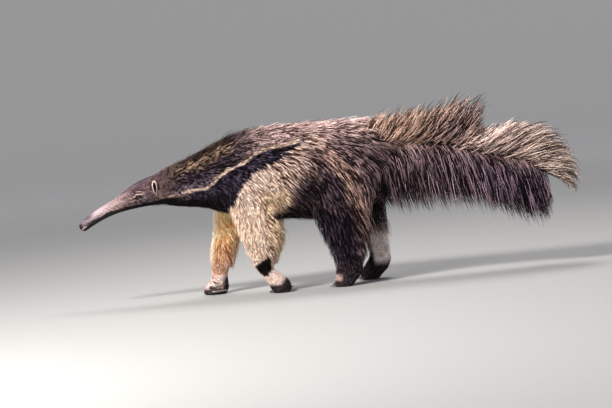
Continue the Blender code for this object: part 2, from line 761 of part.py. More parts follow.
def make_body(whole):
    """Neck, torso and tail, each with its locks."""
    head_point, head_normal = cut_plane("head")
    neck_point, neck_normal = cut_plane("neck")
    rump_point, rump_normal = cut_plane("torso")
    over_legs = (Vector((0, 0, LEG_CUT_Z + GAP)), Vector((0, 0, 1)))
    neck = body_part("neck", "neck brown", whole, "head", "neck")
    add_locks(neck, body_locks("neck", ((head_point, head_normal), (neck_point, -neck_normal))))
    torso = body_part("torso", "back brown", whole, "neck", "torso")
    clear = ((neck_point, neck_normal), (rump_point, -rump_normal), over_legs)
    add_locks(torso, body_locks("torso", clear))
    tail = body_part("tail", "tail brown", whole, "torso")
    clear = ((rump_point, rump_normal),)
    locks = tail_locks(UPPER_STREAMS, UPPER_LANES, 0.25, clear)
    locks += tail_locks(LOWER_STREAMS, LOWER_LANES, -0.15, clear)
    add_locks(tail, locks)


def centre_on_origin():
    """Moves the whole model so that its box is centred over the origin."""
    points = [v.co for part in bpy.data.objects for v in part.data.vertices]
    middle_x = (min(p.x for p in points) + max(p.x for p in points)) / 2
    middle_y = (min(p.y for p in points) + max(p.y for p in points)) / 2
    for part in bpy.data.objects:
        part.data.transform(Matrix.Translation((-middle_x, -middle_y, 0)))


def main():
    clear_scene()
    make_paws()
    legs, stubs = make_legs()
    whole = finished("whole", lofted(body_rings()), "back brown")
    apply_boolean(whole, "UNION", stubs)
    apply_boolean(whole, "DIFFERENCE", [grown(leg, GAP) for leg in legs])
    keep_largest(whole)
    make_head(whole)
    make_body(whole)
    bpy.data.objects.remove(whole)
    for leg in legs:
        add_locks(leg, leg_locks(leg.name, LEGS[leg.name]))
    centre_on_origin()


main()
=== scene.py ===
import math

import bmesh
import bpy
import numpy as np
from mathutils import Matrix, Vector
from mathutils.bvhtree import BVHTree
from mathutils.kdtree import KDTree


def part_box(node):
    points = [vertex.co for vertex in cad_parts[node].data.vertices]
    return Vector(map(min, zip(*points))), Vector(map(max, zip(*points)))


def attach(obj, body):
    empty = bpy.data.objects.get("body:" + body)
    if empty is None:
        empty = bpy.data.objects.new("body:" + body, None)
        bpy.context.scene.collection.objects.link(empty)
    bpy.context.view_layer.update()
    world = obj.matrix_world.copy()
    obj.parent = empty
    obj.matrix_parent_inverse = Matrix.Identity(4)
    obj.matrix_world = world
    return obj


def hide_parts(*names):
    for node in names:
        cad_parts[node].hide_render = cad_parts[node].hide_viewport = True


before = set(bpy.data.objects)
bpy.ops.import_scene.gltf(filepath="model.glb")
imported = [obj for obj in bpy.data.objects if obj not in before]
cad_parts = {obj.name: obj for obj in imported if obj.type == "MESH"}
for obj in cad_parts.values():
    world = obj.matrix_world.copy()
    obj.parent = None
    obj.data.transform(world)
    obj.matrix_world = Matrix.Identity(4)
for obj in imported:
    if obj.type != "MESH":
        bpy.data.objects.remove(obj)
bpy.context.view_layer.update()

# The skin. One hide over the whole animal, from the snout to the tip of the tail and down to the
# soles. It lies under the coat, and the body is drawn as ovals, each given by its top and its
# bottom in the side view, its half width, and the depth of the coat on top, below and aside.
BODY = np.array(
    (
        (-0.4935, 0.327, -0.4885, 0.310, 0.0095, 0.001, 0.001, 0.001),  # nose
        (-0.486, 0.339, -0.470, 0.304, 0.0160, 0.001, 0.001, 0.001),  # nostrils
        (-0.460, 0.359, -0.439, 0.320, 0.0198, 0.001, 0.001, 0.001),  # lips
        (-0.404, 0.392, -0.381, 0.3455, 0.0240, 0.002, 0.002, 0.002),  # fore snout
        (-0.340, 0.425, -0.312, 0.3645, 0.0308, 0.003, 0.003, 0.003),  # mid snout
        (-0.264, 0.472, -0.222, 0.375, 0.0460, 0.004, 0.005, 0.004),  # eyes
        (-0.192, 0.500, -0.150, 0.373, 0.0600, 0.007, 0.008, 0.006),  # ears
        (-0.112, 0.528, -0.062, 0.3595, 0.0770, 0.013, 0.011, 0.012),  # nape
        (-0.032, 0.556, 0.020, 0.345, 0.0980, 0.020, 0.016, 0.016),  # neck
        (0.087, 0.604, 0.090, 0.315, 0.1320, 0.028, 0.020, 0.020),  # chest
        (0.207, 0.638, 0.200, 0.298, 0.1580, 0.032, 0.018, 0.024),  # shoulder
        (0.350, 0.647, 0.350, 0.276, 0.1720, 0.034, 0.020, 0.028),  # ribs
        (0.500, 0.644, 0.500, 0.278, 0.1700, 0.036, 0.022, 0.030),  # loin
        (0.620, 0.641, 0.620, 0.300, 0.1580, 0.038, 0.026, 0.032),  # hips
        (0.700, 0.641, 0.700, 0.325, 0.1220, 0.050, 0.060, 0.038),  # rump
        (0.770, 0.650, 0.765, 0.250, 0.0980, 0.085, 0.225, 0.056),  # tail root
        (0.900, 0.672, 0.900, 0.238, 0.1000, 0.116, 0.249, 0.062),  # tail crest
        (1.030, 0.650, 1.030, 0.235, 0.0980, 0.135, 0.225, 0.066),  # tail middle
        (1.120, 0.560, 1.120, 0.212, 0.0950, 0.077, 0.225, 0.070),  # tail notch
        (1.210, 0.552, 1.210, 0.180, 0.0880, 0.102, 0.230, 0.070),  # tail fan
        (1.300, 0.545, 1.300, 0.160, 0.0760, 0.135, 0.216, 0.062),  # fan middle
        (1.370, 0.500, 1.370, 0.240, 0.0560, 0.126, 0.118, 0.048),  # fan end
        (1.425, 0.440, 1.425, 0.285, 0.0260, 0.075, 0.072, 0.024),  # tail end
    )
)
# Limbs from inside the body down to the sole: x, z, half length, half width, depth of the coat.
LIMBS = {
    "fore_near": (-0.098, np.array((
        (0.205, 0.500, 0.080, 0.045, 0.010), (0.203, 0.400, 0.110, 0.066, 0.020),
        (0.200, 0.311, 0.097, 0.064, 0.024), (0.208, 0.240, 0.089, 0.058, 0.024),
        (0.211, 0.180, 0.068, 0.050, 0.018), (0.209, 0.130, 0.046, 0.040, 0.012),
        (0.216, 0.096, 0.033, 0.031, 0.006), (0.236, 0.073, 0.039, 0.034, 0.005),
        (0.258, 0.048, 0.044, 0.038, 0.004), (0.269, 0.024, 0.042, 0.039, 0.003),
        (0.270, 0.007, 0.037, 0.035, 0.001), (0.270, 0.000, 0.030, 0.028, 0.000),
    ))),
    "fore_far": (0.098, np.array((
        (0.140, 0.500, 0.070, 0.045, 0.010), (0.115, 0.400, 0.085, 0.064, 0.020),
        (0.092, 0.311, 0.068, 0.062, 0.022), (0.071, 0.240, 0.056, 0.056, 0.020),
        (0.049, 0.170, 0.050, 0.048, 0.016), (0.040, 0.125, 0.043, 0.039, 0.010),
        (0.035, 0.096, 0.036, 0.031, 0.006), (0.030, 0.072, 0.034, 0.032, 0.005),
        (0.025, 0.050, 0.038, 0.035, 0.004), (0.015, 0.028, 0.048, 0.038, 0.003),
        (0.009, 0.009, 0.047, 0.037, 0.001), (0.010, 0.000, 0.039, 0.029, 0.000),
    ))),
    "hind_near": (-0.095, np.array((
        (0.590, 0.520, 0.085, 0.050, 0.010), (0.570, 0.420, 0.130, 0.075, 0.024),
        (0.528, 0.311, 0.122, 0.076, 0.030), (0.529, 0.230, 0.098, 0.066, 0.028),
        (0.535, 0.160, 0.072, 0.054, 0.022), (0.540, 0.110, 0.060, 0.045, 0.014),
        (0.542, 0.080, 0.052, 0.040, 0.006), (0.538, 0.060, 0.053, 0.039, 0.005),
        (0.532, 0.040, 0.050, 0.040, 0.004), (0.520, 0.020, 0.043, 0.042, 0.003),
        (0.514, 0.007, 0.037, 0.042, 0.001), (0.514, 0.000, 0.030, 0.035, 0.000),
    ))),
    "hind_far": (0.095, np.array((
        (0.620, 0.520, 0.080, 0.050, 0.010), (0.615, 0.420, 0.105, 0.073, 0.024),
        (0.620, 0.311, 0.088, 0.070, 0.028), (0.634, 0.230, 0.060, 0.060, 0.024),
        (0.652, 0.165, 0.040, 0.046, 0.014), (0.664, 0.120, 0.041, 0.040, 0.008),
        (0.667, 0.088, 0.045, 0.037, 0.006), (0.656, 0.062, 0.051, 0.038, 0.005),
        (0.641, 0.038, 0.052, 0.040, 0.004), (0.626, 0.018, 0.044, 0.042, 0.003),
        (0.623, 0.007, 0.038, 0.042, 0.001), (0.624, 0.000, 0.031, 0.035, 0.000),
    ))),
}
ROUNDNESS = 2 / 2.15
EYE = {"x": -0.2465, "z": 0.4150, "radius": 0.0096}
EAR = {"x": -0.181, "z": 0.452}
HIDE_GRID = 0.0078
BODY_END, HEAD_ROWS, LIMB_END = 22.01, 8.01, 11.01  # just past the last row of each
rng = np.random.default_rng(5)

# The part's own place, in which the rows are given, is shifted to the frame's.
eye_low, eye_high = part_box("eye_left")
far_low, far_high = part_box("eye_right")
SHIFT = np.array((
    (eye_low.x + eye_high.x) / 2 - EYE["x"],
    (eye_low.y + eye_high.y + far_low.y + far_high.y) / 4,
    0.0,
))


def smooth_rows(rows, place):
    """Rows at places between whole rows, on a Catmull-Rom curve through them."""
    last = len(rows) - 1
    i = np.clip(np.floor(place).astype(int), 0, last - 1)
    t = np.clip(place - i, 0.0, 1.0)[..., None]
    a, b, c, d = (rows[np.clip(i + k, 0, last)] for k in (-1, 0, 1, 2))
    start = a * (-t + 2 * t**2 - t**3) + b * (2 - 5 * t**2 + 3 * t**3)
    return (start + c * (t + 4 * t**2 - 3 * t**3) + d * (t**3 - t**2)) / 2


def round_oval(turn):
    """How far along its two half axes an oval's edge lies at a turn from the first."""
    c, s = np.cos(turn), np.sin(turn)
    return np.sign(c) * np.abs(c) ** ROUNDNESS, np.sign(s) * np.abs(s) ** ROUNDNESS


def on_body(place, turn, share):
    """Points at places along the body and turns from the spine, 0 on the skin and 1 at the tips."""
    place, turn, share = np.broadcast_arrays(place, turn, share)
    rows = np.moveaxis(smooth_rows(BODY, place), -1, 0)
    top_x, top_z, low_x, low_z, half, on_top, below, aside = rows
    length = np.hypot(top_x - low_x, top_z - low_z)
    over, under = on_top * (1 - share), below * (1 - share)
    along, across = round_oval(turn)
    up = (length + under - over) / 2 + (length - over - under) / 2 * along
    x = low_x + (top_x - low_x) / length * up
    z = low_z + (top_z - low_z) / length * up
    return np.stack([x, -(half - aside * (1 - share)) * across, z], -1)


def on_limb(limb):
    """The same for a limb, with turns from its front."""
    y, rows = LIMBS[limb]

    def place_on(place, turn, share):
        place, turn, share = np.broadcast_arrays(place, turn, share)
        x, z, length, width, coat = np.moveaxis(smooth_rows(rows, place), -1, 0)
        along, across = round_oval(turn)
        inset = coat * (1 - share)
        return np.stack([x - (length - inset) * along, y - (width - inset) * across, z], -1)

    return place_on


def tube(surface, places, around, share=0.0):
    """The points and faces of a closed tube over one of these surfaces."""
    turns = np.arange(around) * 2 * math.pi / around
    points = surface(places[:, None], turns[None, :], share).reshape(-1, 3)
    rings = np.arange(len(places) - 1)[:, None] * around
    k = np.arange(around)[None, :]
    j = (k + 1) % around
    faces = np.stack([rings + k, rings + k + around, rings + j + around, rings + j], -1)
    caps = [list(range(around)), list(range(len(points) - 1, len(points) - around - 1, -1))]
    return points, faces.reshape(-1, 4).tolist() + caps


def mesh_object(name, points, faces):
    mesh = bpy.data.meshes.new(name)
    mesh.from_pydata(points.tolist(), [], faces)
    mesh.shade_smooth()
    made = bpy.data.objects.new(name, mesh)
    bpy.context.scene.collection.objects.link(made)
    return made


def settled(made):
    """Applies an object's modifiers."""
    graph = bpy.context.evaluated_depsgraph_get()
    mesh = bpy.data.meshes.new_from_object(made.evaluated_get(graph))
    made.modifiers.clear()
    made.data = mesh
    return made


def coordinates(mesh):
    points = np.empty(len(mesh.vertices) * 3, np.float32)
    mesh.vertices.foreach_get("co", points)
    return points.reshape(-1, 3).astype(float)


def step(value, low, high):
    """0 below low, 1 above high and smooth between, or the other way round."""
    t = np.clip((value - low) / (high - low), 0.0, 1.0)
    return t * t * (3 - 2 * t)


points, faces = tube(on_body, np.arange(0, BODY_END, 0.1), 64)
for limb in LIMBS:
    more, sides = tube(on_limb(limb), np.arange(0, LIMB_END, 0.25), 40)
    faces += [[i + len(points) for i in side] for side in sides]
    points = np.concatenate([points, more])
skin = mesh_object("skin", points, faces)
remesh = skin.modifiers.new("one hide", "REMESH")
remesh.mode = "VOXEL"
remesh.voxel_size = HIDE_GRID
settled(skin)

# The head and the feet are drawn finer than the rest and laid on their own ovals again.
HEAD_END, FEET = -0.125, 0.100
bm = bmesh.new()
bm.from_mesh(skin.data)
for reach, cuts in (
    (lambda p: p.x < HEAD_END or p.z < FEET, 1),
    (lambda p: p.x < HEAD_END - 0.05, 1),
    (lambda p: math.hypot(p.x - EYE["x"], p.z - EYE["z"]) < 0.026 and abs(p.y) > 0.02, 2),
    (lambda p: p.x < -0.430, 1),
):
    near = [e for e in bm.edges if reach(e.verts[0].co) and reach(e.verts[1].co)]
    bmesh.ops.subdivide_edges(bm, edges=near, cuts=cuts, use_grid_fill=True)
bm.to_mesh(skin.data)
bm.free()

points = coordinates(skin.data)
edges = np.empty(len(skin.data.edges) * 2, np.int32)
skin.data.edges.foreach_get("vertices", edges)
edges = edges.reshape(-1, 2)
head_points, head_faces = tube(on_body, np.arange(0, HEAD_ROWS, 0.05), 120)
head_tree = BVHTree.FromPolygons(head_points.tolist(), head_faces)
feet_points, feet_faces = np.zeros((0, 3)), []
for limb in LIMBS:
    more, sides = tube(on_limb(limb), np.arange(5, LIMB_END, 0.1), 72)
    feet_faces += [[i + len(feet_points) for i in side] for side in sides]
    feet_points = np.concatenate([feet_points, more])
feet_tree = BVHTree.FromPolygons(feet_points.tolist(), feet_faces)
for tree, chosen, mixes in (
    (head_tree, points[:, 0] < HEAD_END + 0.03, lambda p: step(p[0], HEAD_END + 0.03, HEAD_END)),
    (feet_tree, points[:, 2] < FEET, lambda p: step(p[2], FEET, FEET - 0.02)),
):
    for i in np.nonzero(chosen)[0]:
        found = tree.find_nearest(points[i])[0]
        points[i] += (np.array(found) - points[i]) * mixes(points[i])


def relaxed(points, edges, weight, rounds):
    """Evens out points towards the middle of their neighbours."""
    count = np.maximum(np.bincount(edges.ravel(), minlength=len(points)), 1)[:, None]
    for _ in range(rounds):
        total = np.zeros_like(points)
        for side in range(3):
            total[:, side] = np.bincount(edges[:, 0], points[edges[:, 1], side], len(points))
            total[:, side] += np.bincount(edges[:, 1], points[edges[:, 0], side], len(points))
        points = points + weight[:, None] * (total / count - points)
    return points


joins = step(points[:, 0], HEAD_END + 0.02, HEAD_END + 0.06) * step(points[:, 2], 0.09, 0.16)
points = relaxed(points, edges, joins * 0.5, 10)
points = relaxed(points, edges, step(points[:, 0], HEAD_END, HEAD_END - 0.03) * 0.35, 2)


def ripple(points, size, seed):
    """Smooth noise from -1 to 1 whose lumps are about this size."""
    draw = np.random.default_rng(seed)
    total = 0.0
    for _ in range(6):
        wave = draw.normal(size=3)
        wave *= draw.uniform(0.6, 1.6) * 2 * math.pi / (size * 2 * np.linalg.norm(wave))
        total = total + np.sin(points @ wave + draw.uniform(0, 6.3))
    return total / 3.0


def on_line(x, z, line):
    """The distance to a line in the side view and how far above it a point is, both in metres."""
    line = np.array(line) / 1000
    best = np.full(x.shape, 9.0)
    above = np.zeros(x.shape)
    for (x0, z0), (x1, z1) in zip(line[:-1], line[1:]):
        run, rise = x1 - x0, z1 - z0
        size = math.hypot(run, rise)
        t = np.clip(((x - x0) * run + (z - z0) * rise) / size**2, 0, 1)
        away = np.hypot(x - x0 - t * run, z - z0 - t * rise)
        side = (run * (z - z0) - rise * (x - x0)) / size
        above = np.where(away < best, side, above)
        best = np.minimum(best, away)
    return best, above


# The lids fold over each eye, with finer folds above and below. Seen from the eye's side, u runs
# along the slit and w across it. The slit's slant is in degrees, its half heights are in eye radii,
# and the lid's thickness and the slit's rise above the eye's middle are in metres.
lid_rim = np.full(len(points), 9.0)
SLIT = {"slant": 9.0, "upper": 0.50, "lower": 0.44, "lid": 0.0012, "rise": 0.0022}
eye_frames = []
for low, high in ((eye_low, eye_high), (far_low, far_high)):
    hand = math.copysign(1.0, low.y)
    facing = Vector((-0.10, hand, 0.12)).normalized()
    slant = math.radians(SLIT["slant"])
    along = Vector((math.cos(slant), 0, math.sin(slant)))
    along = (along - facing * along.dot(facing)).normalized()
    across = facing.cross(along) * -hand
    centre = np.array((low + high) / 2) - SHIFT - np.array(facing) * 0.0018
    eye_frames.append((centre, facing))
    away = points - centre
    near = np.nonzero((np.linalg.norm(away, axis=1) < 0.045) & (points[:, 1] * hand > 0))[0]
    d = away[near]
    u, w, height = d @ np.array(along), d @ np.array(across), d @ np.array(facing)
    off = np.hypot(u, w)
    raised = height + 0.0042 * np.exp(-((off / 0.017) ** 2))
    radius = EYE["radius"]
    reach = radius + SLIT["lid"]
    dome = np.sqrt(np.maximum(reach**2 - off**2, 0)) - np.maximum(off - reach, 0) * 3
    lidded = (raised + dome + np.sqrt((raised - dome) ** 2 + 0.002**2)) / 2
    w = w - SLIT["rise"]
    opening = np.where(w > 0, SLIT["upper"], SLIT["lower"])
    opening = opening * np.maximum(1 - (u / radius / 0.95) ** 2, 0)
    rim = (np.abs(w) / radius - opening) * radius
    lidded += np.where(w > 0, 0.0008, 0.0004) * np.exp(-(((rim - 0.0014) / 0.0012) ** 2))
    fold = np.sin((rim - 0.0028) / 0.0013) * np.exp(-((rim / 0.016) ** 2)) * step(rim, 0.0020, 0.004)
    lidded += fold * np.where(w > 0, 0.0010, 0.0006) * step(np.abs(u), 0.022, 0.010)
    sunk = np.sqrt(np.maximum(radius**2 - off**2, 0)) - 0.0030
    target = np.where((rim < 0) & (off < radius), sunk, lidded)
    points[near] += np.array(facing) * (target - height)[:, None]
    lid_rim[near] = rim

# The hide dips under the ears' cups. The lips part along the snout's tip, and the nostrils are
# two commas.
MOUTH = {"x": -0.455, "z": 0.331, "slope": 31}
NOSTRIL = {"x": -0.4935, "y": 0.0064, "z": 0.3225}
side = np.sign(points[:, 1])
in_ear = np.hypot((points[:, 0] - EAR["x"]) / 0.0075, (points[:, 2] - EAR["z"] + 0.004) / 0.022)
points[:, 1] -= side * 0.0085 * step(in_ear, 1.15, 0.70) * (np.abs(points[:, 1]) > 0.02)
mouth = MOUTH["z"] + (points[:, 0] - MOUTH["x"]) * math.tan(math.radians(MOUTH["slope"]))
from_mouth = points[:, 2] - mouth
on_snout = step(points[:, 0], -0.428, -0.440)
groove = np.exp(-((from_mouth / 0.0013) ** 2)) * 0.0024
lips = np.exp(-(((np.abs(from_mouth) - 0.0038) / 0.0024) ** 2)) * 0.0009
points[:, 1] -= side * (groove - lips) * on_snout * (np.abs(points[:, 1]) > 0.002)
points[:, 0] += groove * step(points[:, 0], -0.480, -0.487)
for hand in (-1, 1):
    hole = np.array((NOSTRIL["x"], hand * NOSTRIL["y"], NOSTRIL["z"]))
    away = np.linalg.norm((points - hole) / (1.4, 1.0, 0.75), axis=1)
    points[:, 0] += 0.0050 * np.exp(-((away / 0.0030) ** 2))
    points[:, 1] -= hand * 0.0016 * np.exp(-((away / 0.0034) ** 2))

# Fine wrinkles lie along the cheek, and toes part the front of each foot.
cheek = np.exp(-(((points[:, 0] + 0.262) / 0.045) ** 2 + ((points[:, 2] - 0.402) / 0.020) ** 2))
lines = np.sin((points[:, 2] - points[:, 0] * 0.45 + 0.003 * np.sin(points[:, 0] * 160)) * 1500)
points[:, 1] += side * cheek * lines * 0.0004 * (lid_rim > 0.006)
for limb, toes in (("fore_near", 3), ("fore_far", 3), ("hind_near", 5), ("hind_far", 5)):
    y, rows = LIMBS[limb]
    foot = rows[-1]
    near = np.abs(points[:, 1] - y) < 0.06
    near &= (np.abs(points[:, 0] - foot[0]) < 0.075) & (points[:, 2] < 0.07)
    across = (points[:, 1] - y) / 0.042 * toes / 2
    part = np.abs(np.sin((across + (toes % 2) / 2) * math.pi))
    front = step(foot[0] - points[:, 0], 0.004, 0.034) * step(points[:, 2], 0.060, 0.020)
    points[:, 0] += near * front * (1 - part) ** 3 * 0.007

skin.data.vertices.foreach_set("co", (points + SHIFT).astype(np.float32).ravel())
skin.data.update()
print("skin", sum(len(p.vertices) - 2 for p in skin.data.polygons), "triangles")
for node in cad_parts:
    if not node.startswith(("eye", "ear", "foreclaw", "hindclaw")):
        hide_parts(node)


# The markings, which skin and coat share. Above a thin pale stripe the animal is grizzled; below
# it a black wedge runs from the throat over the shoulder; the forelegs are pale with a black
# wrist, and the hind legs and the tail are dark. Their edges are lines and shapes of the side view,
# in mm from the part's own zero. The purple cast of their dark tones is painted cool sky light in
# shade.
STRIPE = (
    (-150, 406), (-117, 407), (-90, 409), (-61, 416), (-38, 421), (-5, 421), (24, 422), (44, 437),
    (64, 453), (82, 467), (105, 478), (129, 489), (155, 500), (196, 517), (229, 541), (258, 550),
    (297, 555), (337, 559), (377, 568), (405, 574),
)
DARK_EDGE = (
    (-510, 294), (-459, 324), (-417, 349), (-376, 364), (-336, 376), (-296, 385), (-256, 389), (-216, 392),
    (-184, 398), (-117, 402), (-78, 404), (-17, 415), (20, 417), (46, 432), (67, 448), (88, 463),
    (114, 476), (155, 495), (196, 513), (229, 537), (258, 546), (297, 551), (337, 555), (377, 564),
    (420, 572),
)
PALE_EDGE = (
    (96, 290), (101, 311), (122, 348), (149, 391), (167, 425), (196, 442), (226, 460), (247, 472),
    (279, 483), (318, 495), (356, 515), (383, 537), (416, 560), (470, 585),
)
NECK_TAN = (
    (-138, 482), (-85, 501), (-48, 508), (-10, 516), (20, 526), (50, 541), (104, 564), (160, 578),
    (210, 590),
)
THIGH_TAN = ((508, 507), (576, 402), (602, 262), (605, 205))
BELLY_EDGE = ((240, 270), (285, 297), (328, 318), (376, 336), (413, 370), (435, 410), (470, 450))
THIGH_DARK = ((430, 290), (452, 345), (487, 405), (515, 450), (560, 455), (580, 400), (590, 290))
WRIST_PATCH = ((176, 98), (205, 117), (236, 132), (243, 111), (239, 84), (231, 63), (210, 59), (188, 82))
# Folds and spots of the face: colour, half thickness in mm, share, then points along the line.
FACE_LINES = (
    ((62, 54, 74), 2.4, 0.6, (-317, 432), (-284, 453), (-251, 471), (-238, 478), (-218, 484)),
    ((150, 116, 98), 7.0, 0.3, (-218, 448), (-208, 450)),
    ((190, 164, 160), 7.0, 0.5, (-171, 433), (-168, 418), (-159, 407)),
    ((146, 138, 142), 5.0, 0.4, (-228, 426), (-223, 418), (-220, 410)),
    ((28, 22, 30), 4.0, 0.8, (-170, 464), (-165, 453), (-166, 441)),
    ((32, 19, 21), 2.2, 0.8, (-196, 463), (-198, 453), (-198, 446)),
    ((12, 8, 8), 1.8, 0.9, (-179, 431), (-179, 421)),
    # Round the eye, along the folds of the lids and the wrinkles before and below it, the dark lines in the
    # creases are painted shade and the pale lines on the ridges are painted highlights.
    ((50, 34, 34), 2.2, 0.7, (-259, 439), (-254, 442), (-244, 442), (-236, 442)),
    ((184, 154, 156), 1.9, 0.75, (-254, 436), (-244, 437), (-234, 435), (-228, 431), (-225, 426)),
    ((52, 38, 48), 1.7, 0.8, (-257, 431), (-250, 433), (-242, 432), (-232, 430)),
    ((168, 142, 134), 1.8, 0.7, (-263, 417), (-269, 416), (-277, 411), (-285, 414), (-294, 419)),
    ((54, 37, 35), 1.9, 0.8, (-262, 410), (-269, 409), (-278, 407), (-290, 407), (-297, 410)),
    ((162, 138, 138), 1.7, 0.7, (-262, 406), (-273, 403), (-283, 401), (-292, 401)),
    ((74, 58, 64), 1.8, 0.7, (-263, 396), (-274, 393), (-284, 394), (-293, 396)),
    ((152, 130, 136), 2.0, 0.7, (-250, 403), (-253, 396), (-249, 389), (-241, 388)),
    ((40, 27, 31), 4.0, 0.85, (-244, 397), (-243, 396)),
    ((30, 18, 17), 2.6, 0.9, (-266, 440), (-264, 436), (-260, 432), (-266, 427)),
    ((226, 198, 180), 1.5, 0.85, (-265, 419), (-259, 424), (-252, 427), (-243, 427), (-233, 425)),
    ((206, 164, 160), 2.2, 0.8, (-481, 311), (-474, 317), (-465, 321)),
)
# The dark rim and corners of the eye.
ALMOND = (
    (-266, 410), (-258, 418), (-250, 422), (-240, 423), (-231, 420), (-239, 412), (-249, 407), (-259, 406),
)
# How much lower a near mark looks than it lies, seen from the camera's height, for each metre off
# the middle.
LOOKED_DOWN = 0.061


def linear(colour):
    """A colour given from 0 to 255, as light."""
    c = np.array(colour) / 255.0
    return np.where(c <= 0.04045, c / 12.92, ((c + 0.055) / 1.055) ** 2.4)


class Tones:
    """The dark and the light hairs of each place, and the share of light ones."""

    def __init__(self, count, dark, light, share):
        self.dark = np.tile(linear(dark), (count, 1))
        self.light = np.tile(linear(light), (count, 1))
        self.share = np.full(count, float(share))

    def paint(self, mask, dark, light, share):
        m = np.clip(mask, 0, 1)
        self.dark += (linear(dark) - self.dark) * m[:, None]
        self.light += (linear(light) - self.light) * m[:, None]
        self.share += (share - self.share) * m

    def colour(self, strand):
        """The colour of hairs drawn from 0 to 1."""
        pale = step(strand, 1 - self.share - 0.14, 1 - self.share + 0.14)
        return self.dark + (self.light - self.dark) * pale[:, None]


def in_shape(x, z, shape, soft):
    """1 inside a closed shape of the side view, falling to 0 over its soft edge."""
    inside = np.zeros(x.shape, bool)
    line = np.array(shape + shape[:1]) / 1000
    for (x0, z0), (x1, z1) in zip(line[:-1], line[1:]):
        inside ^= ((z0 > z) != (z1 > z)) & (x < (x1 - x0) * (z - z0) / ((z1 - z0) or 1e-9) + x0)
    away, _ = on_line(x, z, shape + shape[:1])
    return step(np.where(inside, away, -away), -soft, soft)


